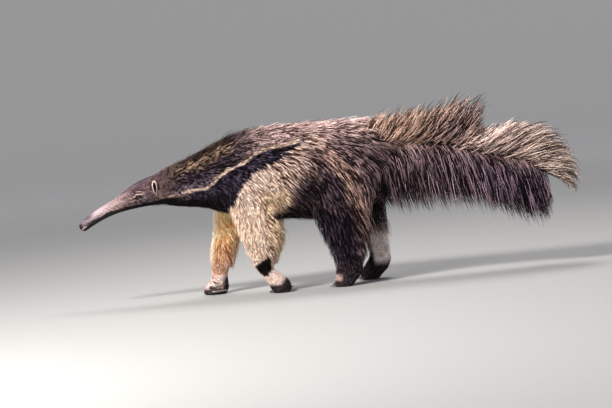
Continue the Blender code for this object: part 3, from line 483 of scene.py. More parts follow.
def markings(points):
    """The tones at points given in the part's own place, before it is shifted."""
    x, y, z = points.T
    # The lines were drawn from a little above, so a near side lies higher than it looks.
    body = step(z, 0.30, 0.36)
    z = z - LOOKED_DOWN * (np.abs(y) * body - y * (1 - body))
    wobble = ripple(points, 0.03, 3) * 0.004 + ripple(points, 0.009, 4) * 0.0025
    tones = Tones(len(points), (64, 40, 37), (226, 196, 190), 0.47)
    tones.paint(step(x, 0.40, 0.52) * step(z, 0.60, 0.64), (78, 50, 48), (236, 208, 202), 0.54)
    tones.paint(step(z, 0.61, 0.53) * step(x, 0.18, 0.32), (42, 24, 27), (196, 166, 164), 0.46)
    tones.paint(step(z, 0.54, 0.42) * step(x, 0.22, 0.36), (28, 15, 18), (182, 152, 146), 0.34)
    tones.paint(step(x, 0.42, 0.50) * step(z, 0.58, 0.48), (26, 14, 19), (172, 144, 146), 0.36)
    tones.paint(in_shape(x, z, THIGH_DARK, 0.020), (16, 7, 14), (124, 102, 116), 0.30)
    tan, _ = on_line(x, z, THIGH_TAN)
    tones.paint(step(tan, 0.050, 0.015) * 0.8, (50, 28, 26), (210, 174, 158), 0.46)
    tones.paint(step(x, 0.64, 0.72) * step(z, 0.56, 0.60), (84, 56, 50), (220, 190, 180), 0.50)

    # Neck and head.
    off_stripe, _ = on_line(x, z, STRIPE)
    _, over_dark = on_line(x, z, DARK_EDGE)
    _, over_pale = on_line(x, z, PALE_EDGE)
    tan, over_tan = on_line(x, z, NECK_TAN)
    fore = step(x, 0.30, 0.12)
    tones.paint(fore * step(over_dark, 0.0, 0.01) * 0.95, (8, 3, 9), (92, 74, 92), 0.27)
    near_stripe = step(over_dark, 0.050, 0.012) * step(x, -0.16, -0.10) * step(x, 0.10, 0.02)
    tones.paint(fore * near_stripe * (over_dark > 0), (24, 15, 25), (164, 144, 160), 0.46)
    tones.paint(fore * step(over_tan, 0.004, 0.026) * step(x, 0.24, 0.08), (8, 4, 5), (96, 72, 62), 0.28)
    tan_share = step(tan + wobble * 2.5, 0.036, 0.002) * step(x, -0.17, -0.07) * step(x, 0.21, 0.10)
    tones.paint(fore * tan_share * 0.9, (24, 13, 9), (224, 188, 158), 0.38)
    tones.paint(step(x, -0.06, -0.15), (38, 22, 24), (146, 120, 118), 0.46)
    tones.paint(step(x, -0.15, -0.21), (42, 28, 32), (124, 102, 109), 0.50)
    tones.paint(step(x, -0.25, -0.34), (98, 78, 78), (162, 138, 136), 0.55)
    tones.paint(step(x, -0.33, -0.41), (116, 99, 104), (174, 157, 162), 0.58)
    tones.paint(step(x, -0.415, -0.46), (68, 56, 66), (134, 118, 128), 0.48)
    cheek = step(np.hypot((x + 0.215) / 0.045, (z - 0.405) / 0.022), 1.3, 0.7)
    tones.paint(cheek, (44, 29, 31), (124, 102, 106), 0.50)
    jaw = step(over_dark, 0.018, 0.002) * step(x, -0.20, -0.26)
    tones.paint(jaw * 0.5, (44, 31, 33), (126, 106, 106), 0.4)
    # Below the dark edge the neck is black with the wedge; under the head the black is partly the jaw's
    # dark hair and partly painted shade along the snout's underside.
    lower = step(over_dark + wobble * 0.6, 0.0025, -0.0025) * step(x, 0.45, 0.40)
    tones.paint(lower * step(x, -0.02, -0.12), (3, 1, 2), (24, 17, 20), 0.2)
    tones.paint(lower * step(x, -0.12, -0.02), (8, 4, 13), (106, 92, 118), 0.25)
    under = step(z, 0.400, 0.372) * step(x, 0.15, 0.04) * step(x, -0.20, -0.12)
    tones.paint(under, (4, 2, 4), (40, 32, 44), 0.2)
    width = np.interp(x, (-0.17, -0.08, 0.02, 0.30, 0.41), (0.0016, 0.0030, 0.0042, 0.0040, 0.0022))
    stripe = step(off_stripe + wobble * 1.1, width + 0.0030, width - 0.0020) * step(x, 0.415, 0.40)
    shine = step(x, -0.15, -0.05) * 0.6 + 0.4
    tones.paint(stripe * shine, (176, 142, 122), (250, 228, 208), 0.64)

    # The pale shoulder and forelegs.
    _, over_belly = on_line(x, z, BELLY_EDGE)
    belly = step(over_belly + wobble * 2, 0.004, -0.016) * step(x, 0.24, 0.28) * step(x, 0.50, 0.44)
    rear = np.interp(z, (0.20, 0.30, 0.36, 0.42, 0.50, 0.56), (0.34, 0.31, 0.33, 0.37, 0.41, 0.46))
    pale = step(over_pale - wobble, 0.002, -0.006) * step(x + wobble * 4, rear + 0.07, rear - 0.05)
    pale = pale * step(x, 0.095, 0.115) * (z > 0.02)
    near_leg = (y < 0) & (z < 0.33) & (x < 0.36)
    near_leg &= x > np.interp(z, (0.20, 0.26, 0.31), (0.06, 0.092, 0.100))
    pale = np.where(near_leg, 1.0, pale)
    tones.paint(pale, (122, 76, 54), (255, 232, 216), 0.66)
    tones.paint(pale * step(x, 0.25, 0.33) * step(z, 0.34, 0.38), (62, 38, 32), (246, 216, 200), 0.48)
    tones.paint(near_leg * step(x, 0.26, 0.19) * step(z, 0.36, 0.30), (190, 128, 94), (255, 232, 212), 0.80)
    speckled = step(x + (z - 0.2) * 0.1, 0.215, 0.280) * step(z, 0.40, 0.34) * step(x, 0.37, 0.33)
    tones.paint(speckled * step(z, 0.08, 0.11), (118, 72, 44), (255, 226, 192), 0.64)
    tones.paint(belly * (z > 0.26), (6, 3, 5), (98, 80, 82), 0.22)
    tones.paint(near_leg * in_shape(x, z, WRIST_PATCH, 0.003), (3, 1, 2), (46, 34, 34), 0.12)
    hand = near_leg * step(z, 0.080, 0.070) * step(x, 0.222, 0.232)
    tones.paint(hand, (176, 146, 134), (250, 230, 222), 0.62)
    heel = step(x - 0.9 * z, 0.236, 0.262) * step(z, 0.058, 0.046)
    tones.paint(near_leg * np.maximum(step(z, 0.030, 0.018), heel), (14, 9, 11), (84, 70, 74), 0.35)

    # The far foreleg is the same pale hair as the near one, painted as the light fell on it: its orange is
    # a painted warm tint of light, and all of it is painted brighter to make up for the shade the body
    # casts on it.
    far_leg = (y > 0) & (z < 0.345) & (x < 0.20)
    far_leg &= x > np.interp(z, (0.20, 0.26, 0.31), (-0.06, 0.0, 0.018))
    tones.paint(far_leg * 1.0, (252, 166, 88), (255, 234, 184), 0.68)
    tones.paint(far_leg * step(z, 0.25, 0.17), (186, 108, 62), (255, 214, 166), 0.54)
    # Along its front edge a painted highlight, and over its rear painted shade.
    front = np.interp(z, (0.0, 0.10, 0.17, 0.24, 0.31, 0.40), (-0.045, 0.0, 0.0, 0.016, 0.026, 0.03))
    edge = step(x - front, 0.026, 0.006) * step(z, 0.09, 0.13)
    tones.paint(far_leg * edge, (250, 208, 160), (255, 240, 216), 0.7)
    fringe = step(x - front, 0.095, 0.130) * step(z, 0.10, 0.13)
    tones.paint(far_leg * fringe, (110, 68, 38), (236, 184, 134), 0.46)
    tones.paint(far_leg * step(z, 0.15, 0.11), (160, 106, 78), (246, 206, 180), 0.54)
    tones.paint(far_leg * step(z, 0.085, 0.070), (170, 138, 130), (248, 226, 218), 0.60)
    heel = step(x - 0.3 * z, 0.018, 0.040) * step(z, 0.075, 0.062)
    tones.paint(far_leg * np.maximum(step(z, 0.034, 0.020), heel), (14, 9, 11), (96, 80, 84), 0.35)

    # The dark hind legs.
    hind = (z < 0.34) & (x > 0.40)
    dark = hind * step(z, 0.32, 0.24) * step(x, 0.62, 0.56)
    tones.paint(dark, (8, 3, 9), (84, 68, 84), 0.26)
    far_hind = hind & (y > 0)
    tones.paint(far_hind * 1.0, (16, 9, 13), (92, 74, 80), 0.28)
    # The pale grey of the far shin is a painted sheen on its dark hair, painted brighter still to make up
    # for the shade the near leg casts on it.
    shin = step(z, 0.20, 0.16) * step(z, 0.05, 0.08) * step(x + 0.15 * z, 0.645, 0.665)
    tones.paint(far_hind * shin, (220, 178, 164), (255, 250, 246), 0.80)
    tones.paint(hind * (y < 0) * step(z, 0.10, 0.07), (18, 10, 15), (92, 76, 84), 0.3)
    toes = hind * (y < 0) * step(z, 0.045, 0.035) * step(z, 0.012, 0.020) * step(x, 0.515, 0.500)
    tones.paint(toes, (150, 124, 116), (214, 190, 180), 0.5)
    tones.paint((points[:, 2] < 0.006) * 1.0, (34, 25, 27), (70, 56, 58), 0.3)

    # The tail, under its hair, the nose and the lines of the face.
    tones.paint(step(x, 0.74, 0.80), (56, 36, 36), (150, 120, 112), 0.4)
    off_nose = np.hypot((x + 0.4935) / 0.018, (z - 0.315) / 0.016)
    tones.paint(step(off_nose, 1.15, 0.85), (5, 3, 4), (26, 20, 23), 0.3)
    on_face = x < -0.14
    for paint, thick, share, *line in FACE_LINES:
        if on_face.any():
            off, _ = on_line(x[on_face], z[on_face], line)
            mask = np.zeros(len(x))
            mask[on_face] = step(off, thick * 0.0014, thick * 0.0005) * share
            tones.paint(mask, np.array(paint) * 0.9, np.minimum(np.array(paint) * 1.06, 255), 0.5)
    tones.paint(in_shape(x, z, ALMOND, 0.0014) * on_face, (5, 3, 4), (20, 14, 14), 0.3)
    return tones


class Sock:
    """A shader socket that takes part in sums."""

    def __init__(self, tree, socket):
        self.tree, self.socket = tree, socket

    def math(self, operation, other, swap=False):
        one, two = (other, self) if swap else (self, other)
        return self.tree.node("ShaderNodeMath", {"operation": operation}, [one, two])

    def __add__(self, other):
        return self.math("ADD", other)

    def __mul__(self, other):
        return self.math("MULTIPLY", other)

    def __sub__(self, other):
        return self.math("SUBTRACT", other)

    def __rsub__(self, other):
        return self.math("SUBTRACT", other, True)

    __radd__ = __add__
    __rmul__ = __mul__


class Finish:
    """A material, with one way to add any node to it."""

    def __init__(self, name):
        self.material = bpy.data.materials.new(name)
        self.material.use_nodes = True
        self.nodes = self.material.node_tree.nodes
        self.links = self.material.node_tree.links
        self.shader = self.nodes["Principled BSDF"]

    def put(self, socket, value):
        if isinstance(value, Sock):
            self.links.new(value.socket, socket)
        else:
            socket.default_value = value

    def node(self, kind, settings=None, inputs=(), out=0):
        made = self.nodes.new(kind)
        for key, value in (settings or {}).items():
            if key == "stops":
                ramp = made.color_ramp
                while len(ramp.elements) < len(value):
                    ramp.elements.new(0.5)
                for element, (place, colour) in zip(ramp.elements, value):
                    element.position = place
                    element.color = (*colour, 1.0)
            else:
                setattr(made, key, value)
        pairs = inputs.items() if isinstance(inputs, dict) else enumerate(inputs)
        for key, value in pairs:
            self.put(made.inputs[key], value)
        return Sock(self, made.outputs[out])

    def place(self):
        return self.node("ShaderNodeTexCoord", None, (), "Object")

    def kept(self, name, out="Color"):
        """What a mesh keeps for its points under this name."""
        return self.node("ShaderNodeAttribute", {"attribute_name": name}, (), out)

    def mix(self, share, one, other, blend="MIX"):
        settings = {"data_type": "RGBA", "blend_type": blend}
        return self.node("ShaderNodeMix", settings, {0: share, 6: one, 7: other}, 2)

    def noise(self, where, scale, detail=3.0, rough=0.6):
        inputs = {"Vector": where, "Scale": scale, "Detail": detail, "Roughness": rough}
        return self.node("ShaderNodeTexNoise", {"noise_dimensions": "3D"}, inputs)

    def set(self, **values):
        for name, value in values.items():
            self.put(self.shader.inputs[name.replace("_", " ")], value)
        return self

    def bump(self, height, strength, distance):
        inputs = {"Strength": strength, "Distance": distance, "Height": height}
        self.put(self.shader.inputs["Normal"], self.node("ShaderNodeBump", None, inputs))
        return self


def painted(mesh, name, colours):
    """Keeps a colour for each point of a mesh."""
    layer = mesh.attributes.new(name, "FLOAT_COLOR", "POINT")
    four = np.ones((len(colours), 4), np.float32)
    four[:, :3] = colours
    layer.data.foreach_set("color", four.ravel())


bare = step(points[:, 0], -0.24, -0.42)
grain = 0.30 * ripple(points, 0.006, 21) + 0.22 * ripple(points, 0.003, 22)
grain = 0.5 + grain * (1 - 0.7 * bare)
painted(skin.data, "coat", markings(points).colour(np.clip(grain, 0, 1)))
painted(skin.data, "bare", np.repeat(bare[:, None], 3, 1))

hide = Finish("short fur over hide")
where = hide.place()
coat_colour = hide.kept("coat")
bare_share = hide.kept("bare", "Fac")
inputs = {"Vector": where, "Rotation": (0.0, math.radians(-28), 0.0), "Scale": (4.0, 1.0, 1.0)}
combed = hide.node("ShaderNodeMapping", {"vector_type": "TEXTURE"}, inputs)
fur = hide.noise(combed, 420.0, 2.0, 0.7)
pores = hide.node("ShaderNodeTexVoronoi", {"feature": "F1"}, {"Vector": where, "Scale": 520.0})
shadow = hide.mix(fur * 0.85, (0.45, 0.42, 0.42, 1.0), (1.25, 1.22, 1.2, 1.0))
hide.set(
    Base_Color=hide.mix(1.0, coat_colour, shadow, "MULTIPLY"),
    Roughness=0.82 - bare_share * 0.18 + (fur - 0.5) * 0.2,
    Specular_IOR_Level=0.3,
)
hide.bump(fur * (1.0 - bare_share * 0.35) + pores * bare_share * 0.35, 0.8, 0.0016)
skin.data.materials.clear()
skin.data.materials.append(hide.material)
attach(skin, "root")


# The eyes. Small dark balls set deep in the side of the head, wet, with a brown iris that is
# hardly lighter than the pupil; the lids of the skin close over their edges.
def ball(name, centre, radius):
    bm = bmesh.new()
    bmesh.ops.create_uvsphere(bm, u_segments=32, v_segments=24, radius=radius)
    bm.transform(Matrix.Translation(centre))
    mesh = bpy.data.meshes.new(name)
    bm.to_mesh(mesh)
    bm.free()
    mesh.shade_smooth()
    made = bpy.data.objects.new(name, mesh)
    bpy.context.scene.collection.objects.link(made)
    return made


for word, (centre, gaze) in zip(("left", "right"), eye_frames):
    centre = Vector(centre + SHIFT)
    eye = ball("eyeball_" + word, centre, EYE["radius"])
    for vertex in eye.data.vertices:
        out = (vertex.co - centre).normalized()
        vertex.co += out * (0.0005 * max(out.dot(gaze) - 0.80, 0.0) / 0.20)
    wet = Finish("wet dark eye " + word)
    where = wet.place()
    inputs = [where, tuple(centre + gaze * EYE["radius"])]
    from_gaze = wet.node("ShaderNodeVectorMath", {"operation": "DISTANCE"}, inputs, "Value")
    # From the pupil outwards: the pupil, its edge, the iris and the rim.
    bands = (
        (0.0, (0.002, 0.0015, 0.0015)), (0.30, (0.002, 0.0015, 0.0015)),
        (0.38, (0.018, 0.009, 0.005)), (0.62, (0.010, 0.005, 0.003)), (0.80, (0.006, 0.004, 0.004)),
    )
    colour = wet.node("ShaderNodeValToRGB", {"stops": bands}, [from_gaze * 96.0])
    veins = wet.noise(where, 900.0, 2.0)
    wet.set(Base_Color=wet.mix(veins * 0.2, colour, (0.008, 0.005, 0.004, 1.0)), Roughness=0.08)
    wet.set(Specular_IOR_Level=0.3)
    eye.data.materials.append(wet.material)
    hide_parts("eye_" + word)
    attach(eye, "root")


# The ears. Each is a small upright cup of thin gristle, bare and dark inside, with a rim of short
# pale fur, round at the top and narrowing to a slit below; its root is sunk in the side of the head.
EAR_CUP = {"half_width": 0.0115, "half_height": 0.0275, "depth": 0.0125, "lean": -3.0}
ear_shapes = []


def faced_out(made):
    """Turns the faces of a closed shell outwards."""
    bm = bmesh.new()
    bm.from_mesh(made.data)
    bmesh.ops.recalc_face_normals(bm, faces=bm.faces)
    bm.to_mesh(made.data)
    bm.free()


for word in ("left", "right"):
    low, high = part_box("ear_" + word)
    hand = -1 if word == "left" else 1
    around, deep = 48, 12
    u = np.arange(around) * 2 * math.pi / around
    # The wall runs up outside from its root to the rim, and inside down to the bottom of the cup.
    outside = [(1.0 - 0.42 * (1 - t) ** 1.6, -0.55 + 1.25 * t) for t in np.linspace(0, 1, deep)]
    inside = [(0.70 - 0.54 * t**1.4, 0.66 - 1.0 * t**0.7) for t in np.linspace(0, 1, deep)]
    rim_rows = [(0.97, 0.78), (0.92, 0.84), (0.84, 0.85), (0.76, 0.79)]
    profile = outside + rim_rows + inside
    rows = []
    lean = math.radians(EAR_CUP["lean"])
    drop = 0.30 + 0.70 * ((1 + np.sin(u)) / 2) ** 0.62
    for ring, (wide, out) in enumerate(profile):
        # Inside the rim the opening sits low and to the back, so the rim is thickest in front.
        narrow = 1 - wide if ring >= deep else 0.0
        across = (np.cos(u) * wide + 0.26 * narrow) * EAR_CUP["half_width"] * drop
        up = np.sin(u) * (1 - 0.42 * narrow if narrow else wide) - 0.36 * narrow
        up = up * EAR_CUP["half_height"]
        lift = out * EAR_CUP["depth"] * (1 + 0.25 * np.cos(u) + 0.15 * np.sin(u))
        rows.append(np.stack([
            EAR["x"] + across * math.cos(lean) + up * math.sin(lean),
            lift * hand,
            EAR["z"] - 0.003 - across * math.sin(lean) + up * math.cos(lean),
        ], -1))
    grid = np.array(rows)
    root = head_tree.find_nearest(Vector((EAR["x"], hand * 0.08, EAR["z"])))[0]
    grid[..., 1] += root.y + hand * 0.0035
    flat = grid.reshape(-1, 3)
    rings = np.arange(len(rows) - 1)[:, None] * around
    k = np.arange(around)[None, :]
    j = (k + 1) % around
    quads = np.stack([rings + k, rings + j, rings + j + around, rings + k + around], -1).reshape(-1, 4)
    if hand > 0:
        quads = quads[:, ::-1]
    caps = [list(range(around))[::-hand], list(range(len(flat) - around, len(flat)))[::hand]]
    faces = quads.tolist() + caps
    ear = mesh_object("ear_cup_" + word, flat + SHIFT, faces)
    faced_out(ear)
    ring = np.repeat(np.arange(len(rows)), around)
    tint = np.tile(linear((132, 108, 100)), (len(flat), 1))
    rim = np.exp(-(((ring - deep - 1.0) / 3.2) ** 2))
    tint += (linear((232, 208, 190)) - tint) * rim[:, None]
    dark = step(ring, deep + 3, deep + 6)
    tint += (linear((20, 11, 11)) - tint) * dark[:, None]
    front = np.tile(step(np.cos(u), 0.2, -0.8), len(rows)) * step(ring, deep + 9, deep + 5)
    tint += (linear((150, 122, 104)) - tint) * (front * dark)[:, None] * 0.6
    painted(ear.data, "coat", tint)
    painted(ear.data, "bare", np.repeat(dark[:, None] * 0.5, 3, 1))
    ear.data.materials.append(hide.material)
    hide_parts("ear_" + word)
    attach(ear, "root")
    ear_shapes.append((hand, grid))


# The coat. Flat tapering locks of coarse hair, each rooted in the skin. They are joined into one
# mesh for each stretch of the body, and lie back along it as the real hair does.
# Rows: place in the side view in mm, how many degrees the hair points below straight back, and
# the length and width of a lock in mm.
LIE = np.array((
    (-440, 340, -25, 3, 0.6), (-340, 400, -25, 4, 0.7), (-260, 440, -26, 6, 0.8), (-250, 400, -16, 6, 0.8),
    (-200, 475, -24, 9, 1.0), (-200, 400, -10, 8, 1.0), (-130, 510, -23, 13, 1.5), (-130, 440, -8, 12, 1.4),
    (-130, 380, 0, 10, 1.4),
    (-60, 535, -20, 20, 1.9), (-50, 460, 2, 17, 1.8), (-50, 380, 6, 15, 1.8), (40, 575, -15, 28, 2.2),
    (40, 480, 10, 22, 2.0), (40, 380, 26, 19, 1.9),
    (140, 615, -7, 38, 2.4), (140, 530, 12, 29, 2.2), (140, 430, 42, 22, 1.8), (140, 340, 64, 22, 1.8),
    (240, 635, 1, 44, 2.4), (240, 550, 18, 34, 2.3), (240, 450, 48, 28, 2.0), (240, 340, 66, 28, 2.0),
    (360, 645, 3, 48, 2.5), (360, 560, 22, 44, 2.5), (360, 450, 42, 42, 2.4), (360, 350, 50, 46, 2.5),
    (370, 290, 52, 50, 2.6),
    (500, 645, 3, 52, 2.6), (500, 560, 26, 48, 2.6), (480, 450, 52, 48, 2.6), (480, 350, 64, 50, 2.7),
    (620, 645, -4, 58, 2.7), (620, 570, 24, 54, 2.7), (600, 460, 56, 54, 2.7), (600, 350, 72, 56, 2.7),
    (700, 650, -16, 62, 2.7), (715, 560, 14, 62, 2.7), (710, 440, 62, 64, 2.8),
    (150, 270, 72, 22, 1.8), (205, 250, 68, 26, 1.9), (265, 250, 50, 46, 2.1), (210, 190, 74, 21, 1.8),
    (262, 190, 54, 44, 2.0), (212, 130, 74, 13, 1.6), (240, 80, 58, 7, 1.1), (270, 25, 56, 5, 1.0),
    (60, 260, 88, 20, 1.8), (130, 260, 66, 38, 2.1), (30, 170, 92, 16, 1.7), (90, 180, 60, 48, 2.1),
    (35, 105, 92, 10, 1.5), (24, 55, 100, 6, 1.1), (5, 20, 112, 5, 1.0),
    (530, 260, 75, 48, 2.6), (535, 175, 77, 40, 2.5), (540, 115, 76, 25, 2.1), (538, 60, 80, 11, 1.6),
    (512, 20, 100, 6, 1.2),
    (640, 250, 78, 46, 2.7), (655, 170, 74, 28, 2.2), (665, 110, 82, 14, 1.8), (650, 60, 100, 8, 1.4),
    (622, 20, 112, 6, 1.2),
))
OUTLINE = 3  # the sides of a lock
THICKNESS = 0.34  # of a lock, in widths
PATCH = 0.003  # the size of a lock's patch on the unwrap
ROOT_DARK, TIP_LIGHT = 0.38, 1.12  # how far a lock's colour changes along it
MID_BELLY = 0.37  # between the forelegs and the hind legs
skin.data.calc_loop_triangles()
corners = np.empty(len(skin.data.loop_triangles) * 3, np.int32)
skin.data.loop_triangles.foreach_get("vertices", corners)
corners = corners.reshape(-1, 3)
normals = np.empty(len(points) * 3, np.float32)
skin.data.vertices.foreach_get("normal", normals)
normals = relaxed(normals.reshape(-1, 3).astype(float), edges, np.full(len(points), 0.5), 6)
normals /= np.linalg.norm(normals, axis=1, keepdims=True)
sides = (points[corners[:, k]] - points[corners[:, 0]] for k in (1, 2))
areas = np.linalg.norm(np.cross(*sides), axis=1) / 2
middles = points[corners].mean(1)
skin_tree = BVHTree.FromPolygons(points.tolist(), corners.tolist())


def lie_at(spots):
    """The fall, the length and the width of the hair at these spots, from the nearest rows."""
    away = (spots[:, :1] * 1000 - LIE[:, 0]) ** 2 + (spots[:, 2:] * 1000 - LIE[:, 1]) ** 2
    weight = 1 / (away + 400.0) ** 2
    fall, length, width = (weight @ LIE[:, 2:] / weight.sum(1, keepdims=True)).T
    return np.radians(fall), length / 1000, width / 1000


def coat_depth(spots, normal):
    """How deep the coat is over these spots of the skin."""
    place = np.interp(spots[:, 0], (BODY[:, 0] + BODY[:, 2]) / 2, np.arange(len(BODY)))
    on_top, below, aside = smooth_rows(BODY, place).T[5:]
    up = normal[:, 2]
    depth = on_top * np.maximum(up, 0) ** 2 + below * np.maximum(-up, 0) ** 2 + aside * (1 - up**2)
    for limb, (y, rows) in LIMBS.items():
        own = (spots[:, 1] * y > 0) & ((spots[:, 0] < MID_BELLY) == ("fore" in limb))
        leg = np.interp(-spots[:, 2], -rows[:, 1], rows[:, 4])
        depth = np.where(own, depth + (leg - depth) * step(spots[:, 2], 0.36, 0.30), depth)
    return np.minimum(depth, 0.060)


def on_skin(spots):
    """The nearest points of the skin and its smooth normals there."""
    found = [skin_tree.find_nearest(spot) for spot in spots.tolist()]
    foot = np.array([f[0] for f in found])
    return foot, normals[corners[[f[2] for f in found]]].mean(1)


def grown(root, normal, length, fall, steps, free_share=0.0):
    """Locks that leave the skin and bend back to lie along it, within the depth of the coat. In a
    deep coat a lock starts hidden among the ones under it. A few stand out further than the rest."""
    count = len(root)
    outward = 0.16 * np.sign(root[:, 1]) * step(normal[:, 2], 0.3, 0.9) * step(root[:, 0], -0.1, 0.1)
    ahead = np.stack([np.cos(fall), outward, -np.sin(fall) - 0.08], -1)
    swirl = np.stack([ripple(root, 0.022, seed) for seed in (5, 6, 7)], -1)
    ahead += rng.normal(0, 0.08, ahead.shape) + 0.09 * swirl
    paths, outs = np.empty((2, count, steps, 3))
    most = coat_depth(root, normal) * (1 + free_share)
    most *= 1 + 0.4 * (rng.uniform(0, 1, count) < 0.10)
    low = most * rng.uniform(0.06, 0.70, count) * (most > 0.009)
    rise = length * (0.40 + 0.25 * free_share)
    high = low + np.minimum((most - low) * rng.uniform(0.45, 1.05, count), rise)
    spot, out = root + normal * (low - np.minimum(0.0015, length * 0.15))[:, None], normal
    paths[:, 0], outs[:, 0] = spot, out
    for k in range(1, steps):
        t = k / (steps - 1)
        along = ahead - out * (ahead * out).sum(1, keepdims=True)
        along /= np.linalg.norm(along, axis=1, keepdims=True)
        spot = spot + along * (length / (steps - 1))[:, None]
        foot, out = on_skin(spot)
        height = ((spot - foot) * out).sum(1)
        wanted = low + (high - low) * (1 - (1 - t) ** 1.7)
        free = np.minimum(height, most * 1.15 + 0.003)
        spot = spot + out * (np.maximum(wanted, free) - height)[:, None]
        paths[:, k], outs[:, k] = spot, out
    return paths, outs


def clumped(paths, every, pull):
    """Draws the tips of neighbours together, and says which clump each belongs to."""
    leaders = np.arange(0, len(paths), every)
    tree = KDTree(len(leaders))
    for k, spot in enumerate(paths[leaders, 0]):
        tree.insert(spot, k)
    tree.balance()
    clump = np.array([tree.find(spot)[1] for spot in paths[:, 0]])
    t = np.linspace(0, 1, paths.shape[1])[None, :, None]
    return paths + (paths[leaders[clump]] - paths) * pull * t**1.6, clump


def lock_pattern(steps):
    """The triangles of one lock: three-sided rings and a tip, closed at its root."""
    made = [(0, 1, 2)]
    for ring in range(steps - 2):
        a, b = ring * OUTLINE, (ring + 1) * OUTLINE
        for k in range(OUTLINE):
            j = (k + 1) % OUTLINE
            made += [(a + k, b + j, a + j), (a + k, b + k, b + j)]
    a = (steps - 2) * OUTLINE
    made += [(a + k, a + OUTLINE, a + (k + 1) % OUTLINE) for k in range(OUTLINE)]
    return np.array(made)


def lock_mesh(name, paths, facing, width, colours, unwrap):
    """One mesh of locks along paths, counted as (lock, step, xyz). unwrap is each root's place on
    the skin laid flat, from 0 to 1."""
    count, steps = paths.shape[:2]
    along = np.gradient(paths, axis=1)
    along /= np.maximum(np.linalg.norm(along, axis=2, keepdims=True), 1e-9)
    across = np.cross(along, facing)
    across /= np.maximum(np.linalg.norm(across, axis=2, keepdims=True), 1e-9)
    out = np.cross(across, along)
    t = np.linspace(0, 1, steps)[None, :, None]
    half = width[:, None, None] / 2 * (0.75 + 0.5 * t) * (1 - t**2.4)
    ridge = paths + out * half * 2 * THICKNESS
    rings = np.stack([paths + across * half, ridge, paths - across * half], 2)
    spots = np.concatenate([rings[:, :-1].reshape(count, -1, 3), paths[:, -1:]], 1)
    spots[..., 2] = np.maximum(spots[..., 2], 0.0006)
    size = spots.shape[1]
    corners = (np.arange(count)[:, None, None] * size + lock_pattern(steps)[None]).reshape(-1)
    mesh = bpy.data.meshes.new(name)
    mesh.vertices.add(count * size)
    mesh.vertices.foreach_set("co", (spots.reshape(-1, 3) + SHIFT).astype(np.float32).ravel())
    mesh.loops.add(len(corners))
    mesh.loops.foreach_set("vertex_index", corners.astype(np.int32))
    mesh.polygons.add(len(corners) // 3)
    mesh.polygons.foreach_set("loop_start", np.arange(0, len(corners), 3, dtype=np.int32))
    mesh.update(calc_edges=True)
    mesh.shade_smooth()
    shade = np.concatenate([np.repeat(colours[:, :-1], OUTLINE, 1), colours[:, -1:]], 1)
    painted(mesh, "coat", shade.reshape(-1, 3))
    patch = np.empty((size, 2))
    patch[:-1, 0] = np.tile((-1.0, 0.0, 1.0), steps - 1)
    patch[:-1, 1] = np.repeat(np.linspace(-1, 1, steps)[:-1], OUTLINE)
    patch[-1] = (0.0, 1.0)
    flat = np.clip(unwrap, 0.004, 0.996)[:, None, :] + patch[None] * PATCH / 2
    layer = mesh.uv_layers.new(name="OFBake")
    layer.uv.foreach_set("vector", flat.reshape(-1, 2)[corners].astype(np.float32).ravel())
    made = bpy.data.objects.new(name, mesh)
    bpy.context.scene.collection.objects.link(made)
    mesh.materials.append(strands.material)
    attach(made, "root")
    print(name, count, "locks", len(mesh.polygons), "triangles")


def hair_colours(paths, clump, own):
    """The markings at each lock's outer half, lighter at the tip and darker at the root, where pale
    hair darkens less."""
    count, steps = paths.shape[:2]
    spot = paths[:, -1] * 0.55 + paths[:, -2] * 0.45
    shared = rng.uniform(0, 1, clump.max() + 1)[clump]
    strand = rng.uniform(0, 1, count) * own + shared * (1 - own)
    strand = np.clip((strand - 0.5) * 1.45 + 0.5, 0, 1)
    tint = markings(spot).colour(strand) * rng.uniform(0.82, 1.18, (count, 1))
    t = np.linspace(0, 1, steps)[None, :, None]
    root = ROOT_DARK + 0.35 * step(tint.max(1), 0.25, 0.9)[:, None, None]
    return np.clip(tint[:, None, :] * (root + (TIP_LIGHT - root) * t**0.8), 0, 1)


def laid_flat(spots):
    """The skin's own unwrap: the body along u and round v, and a strip beside it for each limb."""
    place = np.interp(spots[:, 0], (BODY[:, 0] + BODY[:, 2]) / 2, np.arange(len(BODY)))
    row = smooth_rows(BODY, place)
    turn = np.arctan2(spots[:, 1], spots[:, 2] - (row[:, 1] + row[:, 3]) / 2)
    flat = np.stack([place / (len(BODY) - 1), 0.42 + turn / math.pi * 0.40], -1)
    for k, (limb, (y, rows)) in enumerate(LIMBS.items()):
        own = (spots[:, 1] * y > 0) & ((spots[:, 0] < MID_BELLY) == ("fore" in limb))
        own &= spots[:, 2] < 0.31
        middle = np.interp(-spots[:, 2], -rows[:, 1], rows[:, 0])
        turn = np.arctan2(spots[:, 1] - y, middle - spots[:, 0])
        strip = (k * 0.25 + 0.125 + turn / math.pi * 0.12, 0.84 + spots[:, 2] / 0.31 * 0.15)
        flat = np.where(own[:, None], np.stack(strip, -1), flat)
    return flat


strands = Finish("coarse hair")
where = strands.place()
coat_colour = strands.kept("coat")
fleck = strands.noise(where, 240.0, 2.0, 0.6)
flecked = strands.mix(fleck * 2.4 - 0.7, (0.42, 0.40, 0.41, 1.0), (1.70, 1.66, 1.62, 1.0))
strands.set(
    Base_Color=strands.mix(1.0, coat_colour, flecked, "MULTIPLY"),
    Roughness=0.60 + fleck * 0.14,
    Specular_IOR_Level=0.12,
)


